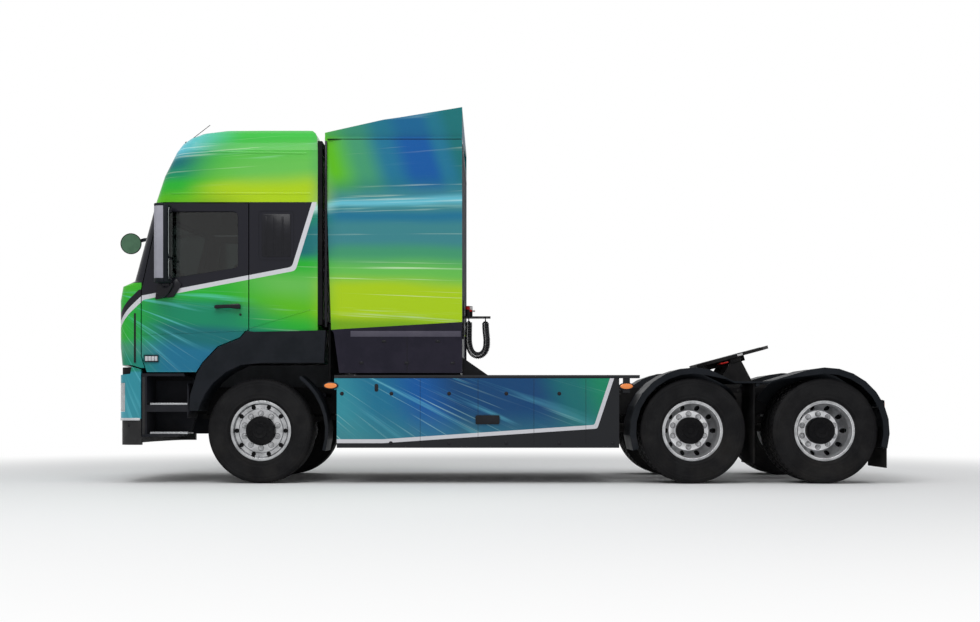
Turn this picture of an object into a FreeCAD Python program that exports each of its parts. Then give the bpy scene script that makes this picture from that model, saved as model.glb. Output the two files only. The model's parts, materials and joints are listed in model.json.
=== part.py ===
import FreeCAD, Part
import math
import os
import Sketcher

os.makedirs("parts", exist_ok=True)
doc = FreeCAD.newDocument("truck")
V = FreeCAD.Vector

# Driving dimensions in millimetres. The nose points to -X, the driver's side
# is -Y, the ground is z = 0.
SIZES = [
    ("mirror_reach", 603, "cab's front corner to the foremost point"),
    ("wheelbase", 4425, "front axle to first drive axle"),
    ("bogie_spread", 1350, "between the drive axles"),
    ("rear_reach", 706, "last axle to the rearmost point"),
    ("tyre_radius", 540, "rolling radius"),
    ("tyre_width", 300, "section width"),
    ("rim_radius", 290, "bead seat"),
    ("front_wheel_y", 1050, "centre of a front tyre"),
    ("outer_wheel_y", 1102, "centre of an outer rear tyre"),
    ("dual_spacing", 340, "between the centres of twin tyres"),
    ("kingpin_y", 880, "steering axis"),
    ("rail_y", 430, "outer face of a frame rail"),
    ("rail_flange", 85, "width of the rail flanges"),
    ("rail_web", 10, "thickness of the rail"),
    ("rail_top", 1000, "top of the frame"),
    ("rail_depth", 290, "height of the rails"),
    ("cab_half_width", 1245, "cab side to centre line"),
    ("cab_wall", 60, "thickness of cab walls and doors"),
    ("cab_reach", 1447, "front axle to the cab's front corner"),
    ("cab_back", 595, "front axle to the cab's rear wall"),
    ("cab_bulge", 115, "how far the nose bows forward"),
    ("corner_radius", 150, "front corners in plan"),
    ("cab_bottom", 1141, "lower edge of doors and cab"),
    ("nose_bottom", 1212, "lower edge of the front panel"),
    ("floor_bottom", 1250, "underside of the cab floor"),
    ("floor_thick", 50, "cab floor"),
    ("cowl_height", 2075, "foot of the windscreen"),
    ("screen_lean", 215, "setback of the screen's top"),
    ("roof_edge", 2874, "joint between cab and high roof"),
    ("roof_top", 3660, "top of the high roof"),
    ("door_setback", 248, "cab's front corner to the front door seam"),
    ("door_back", 112, "front axle to the rear door seam"),
    ("door_gap", 10, "gap round the doors"),
    ("glass_thick", 8, "window glass"),
    ("tilt_setback", 85, "cab's front corner to the cab pivot"),
    ("tilt_z", 850, "height of the cab pivot"),
    ("arch_radius", 672, "inside of the front wheel arches"),
    ("arch_band", 33, "thickness of the front mudguards"),
    ("fender_gap", 95, "rear tyre to fender"),
    ("fender_thick", 12, "rear fender"),
    ("fairing_front", 665, "front axle to the battery fairing"),
    ("fairing_back", 2069, "front axle to the fairing's rear edge"),
    ("fairing_wall", 30, "fairing panels"),
    ("fairing_top", 3540, "top of the painted sides"),
    ("skirt_front", 790, "front axle to the side skirt"),
    ("skirt_back", 3672, "front axle to the skirt's rear edge"),
    ("skirt_bottom", 367, "lower edge of the skirt"),
    ("skirt_top", 1110, "upper edge of the skirt rail"),
    ("skirt_thick", 40, "skirt panels"),
    ("body_half_width", 1245, "skirts and fairing to centre line"),
    ("plate_tilt", 15, "rest angle of the coupling plate, degrees"),
    ("plate_pivot_x", 600, "coupling pivot behind the first drive axle"),
    ("plate_pivot_z", 1250, "height of the coupling pivot"),
    ("running_gap", 0.3, "clearance of pins and shafts"),
]

sheet = doc.addObject("Spreadsheet::Sheet", "Sizes")


class Dim:
    """A length together with the sheet formula that gives it."""

    def __init__(self, value, text):
        self.value = float(value)
        self.text = text

    def __add__(self, other):
        other = dim(other)
        return Dim(self.value + other.value, f"({self.text} + {other.text})")

    def __sub__(self, other):
        other = dim(other)
        return Dim(self.value - other.value, f"({self.text} - {other.text})")

    def __mul__(self, factor):
        return Dim(self.value * factor, f"({self.text} * {float(factor)!r})")

    def __radd__(self, other):
        return dim(other) + self

    def __rsub__(self, other):
        return dim(other) - self

    def __rmul__(self, factor):
        return self * factor

    def __neg__(self):
        return self * -1


def dim(item):
    """Any number as a Dim."""
    if isinstance(item, Dim):
        return item
    return Dim(item, f"({float(item)!r})")


class Named:
    """The sheet's sizes by name."""


S = Named()
for row, (name, value, note) in enumerate(SIZES, start=1):
    sheet.set(f"A{row}", note)
    sheet.set(f"B{row}", str(value))
    sheet.setAlias(f"B{row}", name)
    setattr(S, name, Dim(value, f"Sizes.{name}"))
doc.recompute()


def bind(obj, prop, item):
    """Bind one property to a length."""
    obj.setExpression(prop, dim(item).text)


# Helpers that build single pieces
def named(kind, label):
    obj = doc.addObject(kind, "piece")
    obj.Label = label
    return obj


def move(obj, x, y, z):
    """Place an object's origin."""
    bind(obj, "Placement.Base.x", x)
    bind(obj, "Placement.Base.y", y)
    bind(obj, "Placement.Base.z", z)
    return obj


def box(label, x, y, z):
    """A block between pairs of limits along X, Y and Z."""
    obj = named("Part::Box", label)
    bind(obj, "Length", dim(x[1]) - x[0])
    bind(obj, "Width", dim(y[1]) - y[0])
    bind(obj, "Height", dim(z[1]) - z[0])
    return move(obj, x[0], y[0], z[0])


TURN = {
    "X": FreeCAD.Rotation(V(0, 1, 0), 90),
    "Y": FreeCAD.Rotation(V(1, 0, 0), -90),
    "Z": FreeCAD.Rotation(),
}


def rod(label, axis, start, radius, length):
    """A round bar from a start point along +axis."""
    obj = named("Part::Cylinder", label)
    obj.Placement = FreeCAD.Placement(V(), TURN[axis])
    bind(obj, "Radius", radius)
    bind(obj, "Height", length)
    return move(obj, *start)


def cone(label, axis, start, radius_1, radius_2, length):
    """A tapered bar from a start point along +axis."""
    obj = named("Part::Cone", label)
    obj.Placement = FreeCAD.Placement(V(), TURN[axis])
    bind(obj, "Radius1", radius_1)
    bind(obj, "Radius2", radius_2)
    bind(obj, "Height", length)
    return move(obj, *start)


def new_sketch(body, plane):
    sketch = body.newObject("Sketcher::SketchObject", "outline")
    planes = {item.Role: item for item in body.Origin.OriginFeatures}
    sketch.AttachmentSupport = [(planes[plane + "_Plane"], "")]
    sketch.MapMode = "FlatFace"
    return sketch


def pin_point(sketch, edge, end, point):
    """Hold one end of an edge at a point of the sketch."""
    for kind, item in (("DistanceX", point[0]), ("DistanceY", point[1])):
        item = dim(item)
        index = sketch.addConstraint(
            Sketcher.Constraint(kind, -1, 1, edge, end, item.value)
        )
        if "Sizes" in item.text:
            sketch.setExpression(f"Constraints[{index}]", item.text)


def draw_polygon(sketch, points):
    """A closed outline of straight lines through the points."""
    corners = [V(dim(a).value, dim(b).value, 0) for a, b in points]
    first = sketch.GeometryCount
    count = len(corners)
    for k in range(count):
        sketch.addGeometry(Part.LineSegment(corners[k], corners[(k + 1) % count]))
    for k in range(count):
        sketch.addConstraint(
            Sketcher.Constraint("Coincident", first + k, 2, first + (k + 1) % count, 1)
        )
    for k in range(count):
        pin_point(sketch, first + k, 1, points[k])


def prism(label, plane, outline, low, high, holes=()):
    """A plate with a straight-sided outline, between two limits across its plane."""
    low = dim(low)
    high = dim(high)
    body = named("PartDesign::Body", label)
    sketch = new_sketch(body, plane)
    draw_polygon(sketch, outline)
    for hole in holes:
        draw_polygon(sketch, hole)
    start = -high if plane == "XZ" else low
    bind(sketch, "AttachmentOffset.Base.z", start)
    pad = body.newObject("PartDesign::Pad", "thickness")
    pad.Profile = sketch
    bind(pad, "Length", high - low)
    return body


def turned(label, profile, place):
    """A piece turned about its own Y axis; the profile is (radius, along)."""
    body = named("PartDesign::Body", label)
    sketch = new_sketch(body, "XY")
    draw_polygon(sketch, profile)
    spin = body.newObject("PartDesign::Revolution", "spin")
    spin.Profile = sketch
    spin.ReferenceAxis = (sketch, ["V_Axis"])
    spin.Angle = 360
    return move(body, *place)


def fuse(label, items):
    obj = named("Part::MultiFuse", label)
    obj.Shapes = list(items)
    return obj


def cut(label, base, tools):
    obj = named("Part::Cut", label)
    obj.Base = base
    obj.Tool = tools[0] if len(tools) == 1 else fuse(label + " cutters", tools)
    return obj


def common(label, first, second):
    obj = named("Part::Common", label)
    obj.Base = first
    obj.Tool = second
    return obj


def mirrored(label, source):
    """The same piece on the other side of the truck."""
    obj = named("Part::Mirroring", label)
    obj.Source = source
    obj.Base = V(0, 0, 0)
    obj.Normal = V(0, 1, 0)
    return obj


def group(label, items):
    obj = named("Part::Compound", label)
    obj.Links = list(items)
    return obj


def pair(label, source):
    """A piece and its mirror image as one node."""
    return group(label, [source, mirrored(label + " right", source)])


NODES = []


def node(obj, label=None):
    """Register a finished piece; its label names its file."""
    if label:
        obj.Label = label
    NODES.append(obj)
    return obj


def arc_points(centre, radius, start, end, steps):
    """Points on a circle, angles in degrees."""
    result = []
    for k in range(steps + 1):
        angle = math.radians(start + (end - start) * k / steps)
        x = centre[0] + radius * math.cos(angle)
        z = centre[1] + radius * math.sin(angle)
        result.append((x, z))
    return result


# Positions along the truck
front_reach = S.cab_reach + S.mirror_reach
front_axle = (front_reach - S.wheelbase - S.bogie_spread - S.rear_reach) * 0.5
mid_axle = front_axle + S.wheelbase
rear_axle = mid_axle + S.bogie_spread
tail = rear_axle + S.rear_reach
hub = S.tyre_radius


def ahead(distance):
    """A place ahead of the front axle."""
    return front_axle - distance


def behind(distance):
    """A place behind the front axle."""
    return front_axle + distance


# Bowed outline in plan, used for the cab, the bumper and the nose pieces
BOW_ANGLE = math.radians(11.6)


def bowed_sketch(body, level, inset=0):
    """One level's outline: front arc, corner arcs, sides and a straight back."""
    height, corner_x, half_width, back_x = (dim(item) for item in level)
    radius = S.corner_radius - inset
    corner = corner_x + dim(inset) * math.cos(BOW_ANGLE)
    half = half_width - inset
    front = corner_x - S.cab_bulge + inset
    back = back_x - inset
    side = corner + radius * math.cos(BOW_ANGLE)
    inner = half - radius * (1 - math.sin(BOW_ANGLE))
    sketch = new_sketch(body, "XY")
    bind(sketch, "AttachmentOffset.Base.z", height)
    points = [(corner, inner), (corner, -inner), (side, -half)]
    points += [(back, -half), (back, half), (side, half)]
    flat = [V(a.value, b.value, 0) for a, b in points]
    nose = V(front.value, 0, 0)
    middle = (BOW_ANGLE + math.pi / 2) / 2
    near = flat[2] + V(-math.cos(middle), 1 - math.sin(middle), 0) * radius.value
    far = flat[5] + V(-math.cos(middle), math.sin(middle) - 1, 0) * radius.value
    sketch.addGeometry(Part.Arc(flat[0], nose, flat[1]))
    sketch.addGeometry(Part.Arc(flat[1], near, flat[2]))
    sketch.addGeometry(Part.LineSegment(flat[2], flat[3]))
    sketch.addGeometry(Part.LineSegment(flat[3], flat[4]))
    sketch.addGeometry(Part.LineSegment(flat[4], flat[5]))
    sketch.addGeometry(Part.Arc(flat[5], far, flat[0]))
    tip = sketch.addGeometry(Part.Point(nose), True)
    for k in range(6):
        sketch.addConstraint(Sketcher.Constraint("Coincident", k, 2, (k + 1) % 6, 1))
    for k in range(6):
        pin_point(sketch, k, 1, points[k])
    pin_point(sketch, tip, 1, (front, 0))
    sketch.addConstraint(Sketcher.Constraint("PointOnObject", tip, 1, 0))
    for k in (1, 5):
        index = sketch.addConstraint(Sketcher.Constraint("Radius", k, radius.value))
        sketch.setExpression(f"Constraints[{index}]", radius.text)
    return sketch


def bowed_loft(label, levels, inset=0):
    """A body whose plan changes from level to level."""
    body = named("PartDesign::Body", label)
    sketches = [bowed_sketch(body, level, inset) for level in levels]
    loft = body.newObject("PartDesign::AdditiveLoft", "loft")
    loft.Profile = sketches[0]
    loft.Sections = sketches[1:]
    loft.Ruled = True
    return body


def bowed_pad(label, corner_x, half_width, back_x, low, high, inset=0):
    """The same outline pulled straight up."""
    body = named("PartDesign::Body", label)
    sketch = bowed_sketch(body, (low, corner_x, half_width, back_x), inset)
    pad = body.newObject("PartDesign::Pad", "height")
    pad.Profile = sketch
    bind(pad, "Length", dim(high) - low)
    return body


# Cab: hollow shell, split where the real panels meet
nose = ahead(S.cab_reach)
cab_rear = behind(S.cab_back)
screen_foot = nose + 147
screen_head = screen_foot + S.screen_lean
hw = S.cab_half_width

LOWER = [
    (S.cab_bottom, nose + 22, hw - 6, cab_rear),
    (S.cab_bottom + 260, nose, hw, cab_rear),
    (S.cowl_height - 200, nose, hw, cab_rear),
    (S.cowl_height - 55, nose + 26, hw, cab_rear),
    (S.cowl_height, screen_foot, hw, cab_rear),
    (S.roof_edge, screen_head, hw, cab_rear),
]
rise = S.roof_top - S.roof_edge
ROOF_SHAPE = [
    (0.0, 0, 0, 0),
    (0.36, 92, 8, 0),
    (0.56, 170, 14, 0),
    (0.68, 215, 22, 0),
    (0.78, 270, 38, 6),
    (0.86, 345, 62, 16),
    (0.92, 445, 95, 34),
    (0.965, 620, 150, 70),
    (1.0, 960, 260, 130),
]
ROOF = [
    (S.roof_edge + rise * part, screen_head + back, hw - tuck, cab_rear - rear)
    for part, back, tuck, rear in ROOF_SHAPE
]


wall = S.cab_wall
floor_top = S.floor_bottom + S.floor_thick
HOLLOW_ROOF = [
    (S.roof_edge + (rise - wall) * part, screen_head + back, hw - tuck, cab_rear - rear)
    for part, back, tuck, rear in ROOF_SHAPE
]


def grow(points, amount):
    """The same polygon with every side moved outwards."""
    flat = [(dim(a).value, dim(b).value) for a, b in points]
    count = len(flat)
    area = sum(
        flat[k][0] * flat[(k + 1) % count][1] - flat[(k + 1) % count][0] * flat[k][1]
        for k in range(count)
    )
    sign = 1 if area > 0 else -1
    result = []
    for k in range(count):
        normals = []
        for a, b in ((flat[k - 1], flat[k]), (flat[k], flat[(k + 1) % count])):
            length = math.hypot(b[0] - a[0], b[1] - a[1])
            normals.append((sign * (b[1] - a[1]) / length, sign * (a[0] - b[0]) / length))
        (ax, az), (bx, bz) = normals
        scale = 1 / (1 + ax * bx + az * bz)
        step = dim(amount)
        result.append(
            (points[k][0] + step * ((ax + bx) * scale), points[k][1] + step * ((az + bz) * scale))
        )
    return result


def near_axle(offsets, axle):
    """Points given from an axle's centre."""
    return [(axle + x, hub + z) for x, z in offsets]


# Outline of the front wheel arch, from the axle's centre
ARCH_OUTER = [(-713, 204), (-703, 357), (-635, 581), (-571, 693), (-418, 852)]
ARCH_OUTER += [(-194, 943), (-128, 1019), (-51, 1009), (678, 1025)]
ARCH_INNER = [(660, 693), (31, 693), (-183, 673), (-336, 601), (-469, 489)]
ARCH_INNER += [(-544, 387), (-596, 279), (-622, 204)]
arch_outline = near_axle(ARCH_OUTER + ARCH_INNER, front_axle)

DOOR_ARCH = [(-112, 1032), (-134, 1032), (-201, 954), (-426, 863), (-582, 700)]
door_front = nose + S.door_setback
door_back = ahead(S.door_back)
door_outline = [
    (door_front + 50, S.cab_bottom),
    (door_front, S.cab_bottom + 160),
    (door_front, S.cowl_height - 98),
    (door_front + 189, S.roof_edge - 12),
    (door_back, S.roof_edge - 12),
]
door_outline += near_axle(DOOR_ARCH, front_axle)
door_outline += [(front_axle - 645, S.cab_bottom)]

lower_solid = bowed_loft("cab lower form", LOWER)
lower_wall = cut("cab lower wall", lower_solid, [bowed_loft("cab hollow", LOWER, wall)])
cab_floor = common(
    "cab floor layer",
    lower_solid,
    box("floor slab", (nose - 200, cab_rear), (-hw, hw), (S.floor_bottom, floor_top)),
)
rear_panel = common(
    "cab rear layer",
    lower_solid,
    box("rear slab", (cab_rear - wall, cab_rear), (-hw, hw), (S.floor_bottom, S.roof_edge)),
)
door_reach = (-hw - 20, -hw + wall + 8)
door_cut = prism("door opening", "XZ", grow(door_outline, S.door_gap), *door_reach)
arch_cut = prism("arch opening", "XZ", grow(arch_outline, 1), -hw - 20, -hw + wall)
nose_cut = prism(
    "nose opening",
    "XZ",
    [
        (nose - 300, S.cab_bottom - 50),
        (nose - 300, S.nose_bottom),
        (nose + 147, S.nose_bottom),
        (door_front - S.door_gap, S.nose_bottom - 30),
        (door_front + 60, S.nose_bottom - 30),
        (door_front + 60, S.cab_bottom - 50),
    ],
    -hw - 50,
    hw + 50,
)
wheel_cut = box(
    "wheel opening",
    (ahead(660), cab_rear + 20),
    (-hw - 50, hw + 50),
    (S.cab_bottom - 50, S.floor_bottom),
)
screen_low = S.cowl_height + 35
screen_high = S.roof_edge - 40
screen_side = hw - wall - 20
screen_outline = [
    (-screen_side, screen_low + 40),
    (-screen_side + 60, screen_low),
    (screen_side - 60, screen_low),
    (screen_side, screen_low + 40),
    (screen_side - 10, screen_high - 40),
    (screen_side - 50, screen_high),
    (-screen_side + 50, screen_high),
    (-screen_side + 10, screen_high - 40),
]
screen_reach = (nose - 300, door_front + 500)
screen_cut = prism("screen opening", "YZ", screen_outline, *screen_reach)

pivot_x = nose + S.tilt_setback
pivot_z = S.tilt_z
arm_outline = [
    (pivot_x - 50, pivot_z - 25),
    (pivot_x - 25, pivot_z - 50),
    (pivot_x + 30, pivot_z - 50),
    (pivot_x + 400, pivot_z + 300),
    (pivot_x + 460, S.floor_bottom),
    (pivot_x + 280, S.floor_bottom),
    (pivot_x + 230, pivot_z + 270),
    (pivot_x - 40, pivot_z + 35),
]
arm = cut(
    "tilt arm bored",
    prism("tilt arm", "XZ", arm_outline, -S.rail_y - 90, -S.rail_y - 50),
    [rod("arm bore", "Y", (pivot_x, -S.rail_y - 120, pivot_z), 25 + S.running_gap, 150)],
)
walls = cut(
    "cab walls cut",
    fuse("cab walls", [lower_wall, cab_floor, rear_panel]),
    [
        door_cut,
        mirrored("door opening right", door_cut),
        arch_cut,
        mirrored("arch opening right", arch_cut),
        nose_cut,
        wheel_cut,
        screen_cut,
    ],
)
hinge_face = -hw + wall
leaves = []
for low in (S.cab_bottom + 350, S.cowl_height - 220):
    level = (low, low + 60)
    leaves.append(
        box(
            "hinge root",
            (door_front - 60, door_front - 12),
            (hinge_face - 5, hinge_face + 20),
            level,
        )
    )
    leaves.append(
        box(
            "hinge leaf",
            (door_front - 60, door_front + 30),
            (hinge_face + S.running_gap, hinge_face + 20),
            level,
        )
    )
side_parts = fuse("cab side parts", [arm] + leaves)
node(fuse("cab_shell", [walls, side_parts, mirrored("cab side parts right", side_parts)]))

roof_solid = bowed_loft("roof form", ROOF)
node(cut("cab_roof", roof_solid, [bowed_loft("roof hollow", HOLLOW_ROOF, wall)]))

screen_skin = cut(
    "screen skin", lower_solid, [bowed_loft("screen inner form", LOWER, S.glass_thick)]
)
screen_pane = prism("screen pane", "YZ", grow(screen_outline, -S.running_gap), *screen_reach)
node(common("windscreen", screen_skin, screen_pane))

# Wheel-arch trims with the liners of their front legs
arch_plate = prism("arch trim", "XZ", arch_outline, -hw - 17, -hw + wall)
LINER = ARCH_INNER[2:]
liner_outline = near_axle(
    LINER + [(x * 1.024, z * 1.024) for x, z in reversed(LINER)], front_axle
)
liner = prism("arch liner", "XZ", liner_outline, -hw + wall, -hw + 400)
node(pair("wheel_arches", fuse("arch left", [arch_plate, liner])))

# Doors: the wall inside their seams, with the window cut
door_form = common(
    "door form", lower_wall, prism("door block", "XZ", door_outline, -hw - 5, -hw + wall + 5)
)
glass_back = door_back - 105
window_outline = [
    (door_front + 261, S.cowl_height + 17),
    (door_front + 244, S.cowl_height + 37),
    (door_front + 281, S.roof_edge - 119),
    (door_front + 304, S.roof_edge - 96),
    (glass_back - 45, S.roof_edge - 96),
    (glass_back - 11, S.roof_edge - 112),
    (glass_back, S.roof_edge - 144),
    (glass_back, S.cowl_height + 155),
    (glass_back - 15, S.cowl_height + 133),
    (glass_back - 33, S.cowl_height + 125),
]
window_cut = prism("window opening", "XZ", window_outline, -hw - 5, -hw + wall + 5)
door = cut("door_left", door_form, [window_cut])
door_glass = prism(
    "door_glass_left", "XZ", grow(window_outline, -S.running_gap), -hw + 20, -hw + 20 + S.glass_thick
)
node(door)
node(mirrored("door_right", door))
node(door_glass)
node(mirrored("door_glass_right", door_glass))

# Door mirrors: a tall housing on two short arms
mirror_x = door_front + 180
mirror_plan = [
    (mirror_x + 25, -hw - 45),
    (mirror_x, -hw - 80),
    (mirror_x, -hw - 220),
    (mirror_x + 35, -hw - 250),
    (mirror_x + 120, -hw - 240),
    (mirror_x + 150, -hw - 200),
    (mirror_x + 150, -hw - 70),
    (mirror_x + 125, -hw - 45),
]
housing = prism("mirror housing", "XY", mirror_plan, 2030, 2830)
lower_arm = prism(
    "mirror foot",
    "XZ",
    [(mirror_x + 19, 2030), (mirror_x + 19, 1990), (mirror_x + 70, 1900)]
    + [(mirror_x + 160, 2040), (mirror_x + 140, 2080), (mirror_x + 60, 2090)],
    -hw - 90,
    -hw,
)
upper_arm = box(
    "mirror top arm", (mirror_x + 30, mirror_x + 100), (-hw - 90, -hw), (2740, 2775)
)
mirror = fuse("mirror_left", [housing, lower_arm, upper_arm])
node(mirror)
node(mirrored("mirror_right", mirror))

# Nose-side mirror on an arm from the roof's front edge
bowl_x = nose - S.mirror_reach + 125
bowl_z = S.roof_edge - 134
bowl = cone("mirror bowl", "Y", (bowl_x, 940, bowl_z), 125, 80, 120)
mirror_arm = prism(
    "mirror arm",
    "XZ",
    [
        (bowl_x - 10, bowl_z - 5),
        (bowl_x + 150, bowl_z + 35),
        (screen_head + 24, S.roof_edge - 22),
        (screen_head + 8, S.roof_edge - 2),
        (bowl_x + 140, bowl_z + 72),
        (bowl_x - 10, bowl_z + 28),
    ],
    985,
    1015,
)
node(cut("front_mirror", fuse("front mirror form", [bowl, mirror_arm]), [lower_solid]))

# Rubber frame between cab and fairing
seal_z = (S.roof_edge - 1250, S.roof_top - 160)
seal_x = (cab_rear, cab_rear + 45)
node(
    cut(
        "gap_seal",
        box("seal block", seal_x, (-hw + 15, hw - 15), seal_z),
        [
            box(
                "seal opening",
                (cab_rear - 5, cab_rear + 50),
                (-hw + 75, hw - 75),
                (seal_z[0] + 60, seal_z[1] - 60),
            )
        ],
    )
)

# Seats, bunk and dashboard, seen through the glass
seat_x = ahead(560)


def seat(label, side):
    middle = side * 600
    return fuse(
        label,
        [
            box(
                label + " base",
                (seat_x - 160, seat_x + 160),
                (middle - 180, middle + 180),
                (floor_top, floor_top + 330),
            ),
            prism(
                label + " shape",
                "XZ",
                [
                    (seat_x - 270, floor_top + 330),
                    (seat_x + 270, floor_top + 320),
                    (seat_x + 360, floor_top + 950),
                    (seat_x + 375, floor_top + 1190),
                    (seat_x + 300, floor_top + 1190),
                    (seat_x + 270, floor_top + 960),
                    (seat_x + 160, floor_top + 470),
                    (seat_x - 240, floor_top + 480),
                    (seat_x - 280, floor_top + 430),
                ],
                middle - 245,
                middle + 245,
            ),
        ],
    )


bunk = box(
    "bunk",
    (cab_rear - wall - 560, cab_rear - wall),
    (-hw + wall + 20, hw - wall - 20),
    (floor_top, floor_top + 520),
)
node(group("seats", [seat("driver seat", -1), seat("second seat", 1), bunk]))

dash_outline = [
    (nose + 75, floor_top),
    (nose + 75, S.cowl_height - 95),
    (nose + 190, S.cowl_height - 40),
    (nose + 420, S.cowl_height - 60),
    (nose + 470, S.cowl_height - 130),
    (nose + 400, S.cowl_height - 330),
    (nose + 250, floor_top + 200),
    (nose + 230, floor_top),
]
dash_body = prism("dash body", "XZ", dash_outline, -hw + wall + 90, hw - wall - 90)
column = rod("steering column", "Z", (0, 0, 0), 28, 470)
wheel_ring = doc.addObject("Part::Torus", "piece")
wheel_ring.Label = "steering ring"
wheel_ring.Radius1 = 215
wheel_ring.Radius2 = 14
wheel_ring.Placement.Base = V(0, 0, 440)
spoke = box("steering spoke", (-16, 16), (-210, 210), (428, 446))
steering = fuse("steering group", [column, wheel_ring, spoke])
steering.Placement = FreeCAD.Placement(V(), FreeCAD.Rotation(V(0, 1, 0), 32))
move(steering, nose + 330, -600, S.cowl_height - 290)
node(fuse("dashboard", [dash_body, steering]))

# Nose on the frame: bumper, lower bumper, headlamps and steps
bumper_back = door_front - S.door_gap
BUMPER_LOW = 663


def bowed_wall(label, corner_x, half, low, high, thick):
    outer = bowed_pad(label + " outer", corner_x, half, bumper_back, low, high)
    back = bumper_back + 300
    inner = bowed_pad(label + " inner", corner_x, half, back, low - 5, high + 5, thick)
    return cut(label, outer, [inner])


bumper_wall = bowed_wall("bumper wall", nose, hw, dim(BUMPER_LOW), S.nose_bottom - 12, wall)
slope = prism(
    "bumper slope",
    "XZ",
    [
        (nose - 300, S.nose_bottom - 100),
        (nose, S.nose_bottom - 100),
        (nose + 130, S.nose_bottom - 90),
        (nose + 145, S.nose_bottom - 16),
        (bumper_back, S.nose_bottom - 44),
        (bumper_back + 50, S.nose_bottom - 44),
        (bumper_back + 50, S.nose_bottom + 50),
        (nose - 300, S.nose_bottom + 50),
    ],
    -hw - 20,
    hw + 20,
)
lamp_x = (nose - 200, nose + 72)
lamp_hole = box("lamp opening", lamp_x, (-hw - 20, -760), (737, 1032))
lamp_zone = box("lamp zone", (lamp_x[0], lamp_x[1] - 2), (-hw - 20, -762), (739, 1030))
lamp_hole_right = mirrored("lamp opening right", lamp_hole)
node(cut("bumper", bumper_wall, [slope, lamp_hole, lamp_hole_right]))
node(pair("headlamps", common("headlamp left", bumper_wall, lamp_zone)))
node(bowed_wall("bumper_lower", nose + 12, hw - 10, dim(397), dim(BUMPER_LOW), wall))

step_x = (bumper_back + 8, ahead(722))
step_low = 479
step_body = cut(
    "steps left",
    box("step block", step_x, (-hw + 10, -800), (step_low, S.cab_bottom - 14)),
    [
        box("upper well", (step_x[0] + 50, step_x[1] - 15), (-hw, -870), (805, 1100)),
        box("lower well", (step_x[0] + 50, step_x[1] - 15), (-hw, -870), (step_low + 30, 735)),
        box("step hollow", (step_x[0] + 20, step_x[1] - 15), (-855, -815), (step_low - 5, 1100)),
    ],
)
step_arm = box("step bracket", (step_x[0] + 40, step_x[0] + 120), (-800, -S.rail_y), (880, 960))
step_sweep = rod("steps behind line", "Y", (pivot_x, -hw, pivot_z), 650, 2 * hw)
step_form = common("steps trimmed", step_body, step_sweep)
node(pair("cab_steps", fuse("steps with bracket", [step_form, step_arm])))

# Frame
rail_low = S.rail_top - S.rail_depth
flange = S.rail_flange
web = S.rail_web
rail_outline = [
    (-S.rail_y, rail_low),
    (-S.rail_y, S.rail_top),
    (-S.rail_y + flange, S.rail_top),
    (-S.rail_y + flange, S.rail_top - web),
    (-S.rail_y + web, S.rail_top - web),
    (-S.rail_y + web, rail_low + web),
    (-S.rail_y + flange, rail_low + web),
    (-S.rail_y + flange, rail_low),
]
rail_end = tail - 58
rail_start = nose + 5
rail = prism("rail", "YZ", rail_outline, rail_start, rail_end)
frame_parts = [rail, mirrored("rail right", rail)]
CROSS = [nose + 147, ahead(450), behind(950), behind(1900), behind(3000), behind(3850)]
CROSS += [mid_axle + 675, rear_axle + 380]
for place in CROSS:
    frame_parts.append(
        box(
            "crossmember",
            (place - 40, place + 40),
            (-S.rail_y + web, S.rail_y - web),
            (rail_low + 50, S.rail_top - 50),
        )
    )
beam_outer = bowed_pad("nose beam outer", nose, hw, nose + 147, 720, 800, wall)
beam_inner = bowed_pad("nose beam inner", nose, hw, nose + 547, 715, 805, wall + 40)
nose_beam = common(
    "nose beam",
    cut("nose beam bow", beam_outer, [beam_inner]),
    box("nose beam span", (nose - 300, nose + 117), (-900, 900), (700, 900)),
)
frame_parts.append(nose_beam)
frame_parts.append(box("nose plate", (nose - 33, rail_start + 40), (-425, 425), (720, 800)))
rear_beam = box("rear beam", (rail_end, tail - 28), (-950, 950), (690, 860))
frame_parts.append(rear_beam)
pin = rod("tilt pin", "Y", (pivot_x, -S.rail_y - 95, pivot_z), 25, 95)
frame_parts.append(pin)
frame_parts.append(mirrored("tilt pin right", pin))
node(fuse("frame", frame_parts))

# Cooling unit on the rails under the cab, and the walkway behind the fairing
unit_top = S.floor_bottom - 12
unit_x = (ahead(900), behind(680))
node(
    prism(
        "cooling_unit",
        "XZ",
        [
            (unit_x[0], S.rail_top),
            (unit_x[0], unit_top - 60),
            (unit_x[0] + 60, unit_top),
            (unit_x[1] - 60, unit_top),
            (unit_x[1], unit_top - 60),
            (unit_x[1], S.rail_top),
        ],
        -S.rail_y + 20,
        S.rail_y - 20,
    )
)
deck = box(
    "deck plate",
    (behind(S.fairing_back) + 20, mid_axle - 700),
    (-S.rail_y, S.rail_y),
    (S.rail_top, S.rail_top + 30),
)
deck_recess = box(
    "deck recess",
    (behind(S.fairing_back) + 35, mid_axle - 715),
    (-S.rail_y + 15, S.rail_y - 15),
    (S.rail_top + 24, S.rail_top + 40),
)
node(cut("walkway", deck, [deck_recess]))

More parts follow.
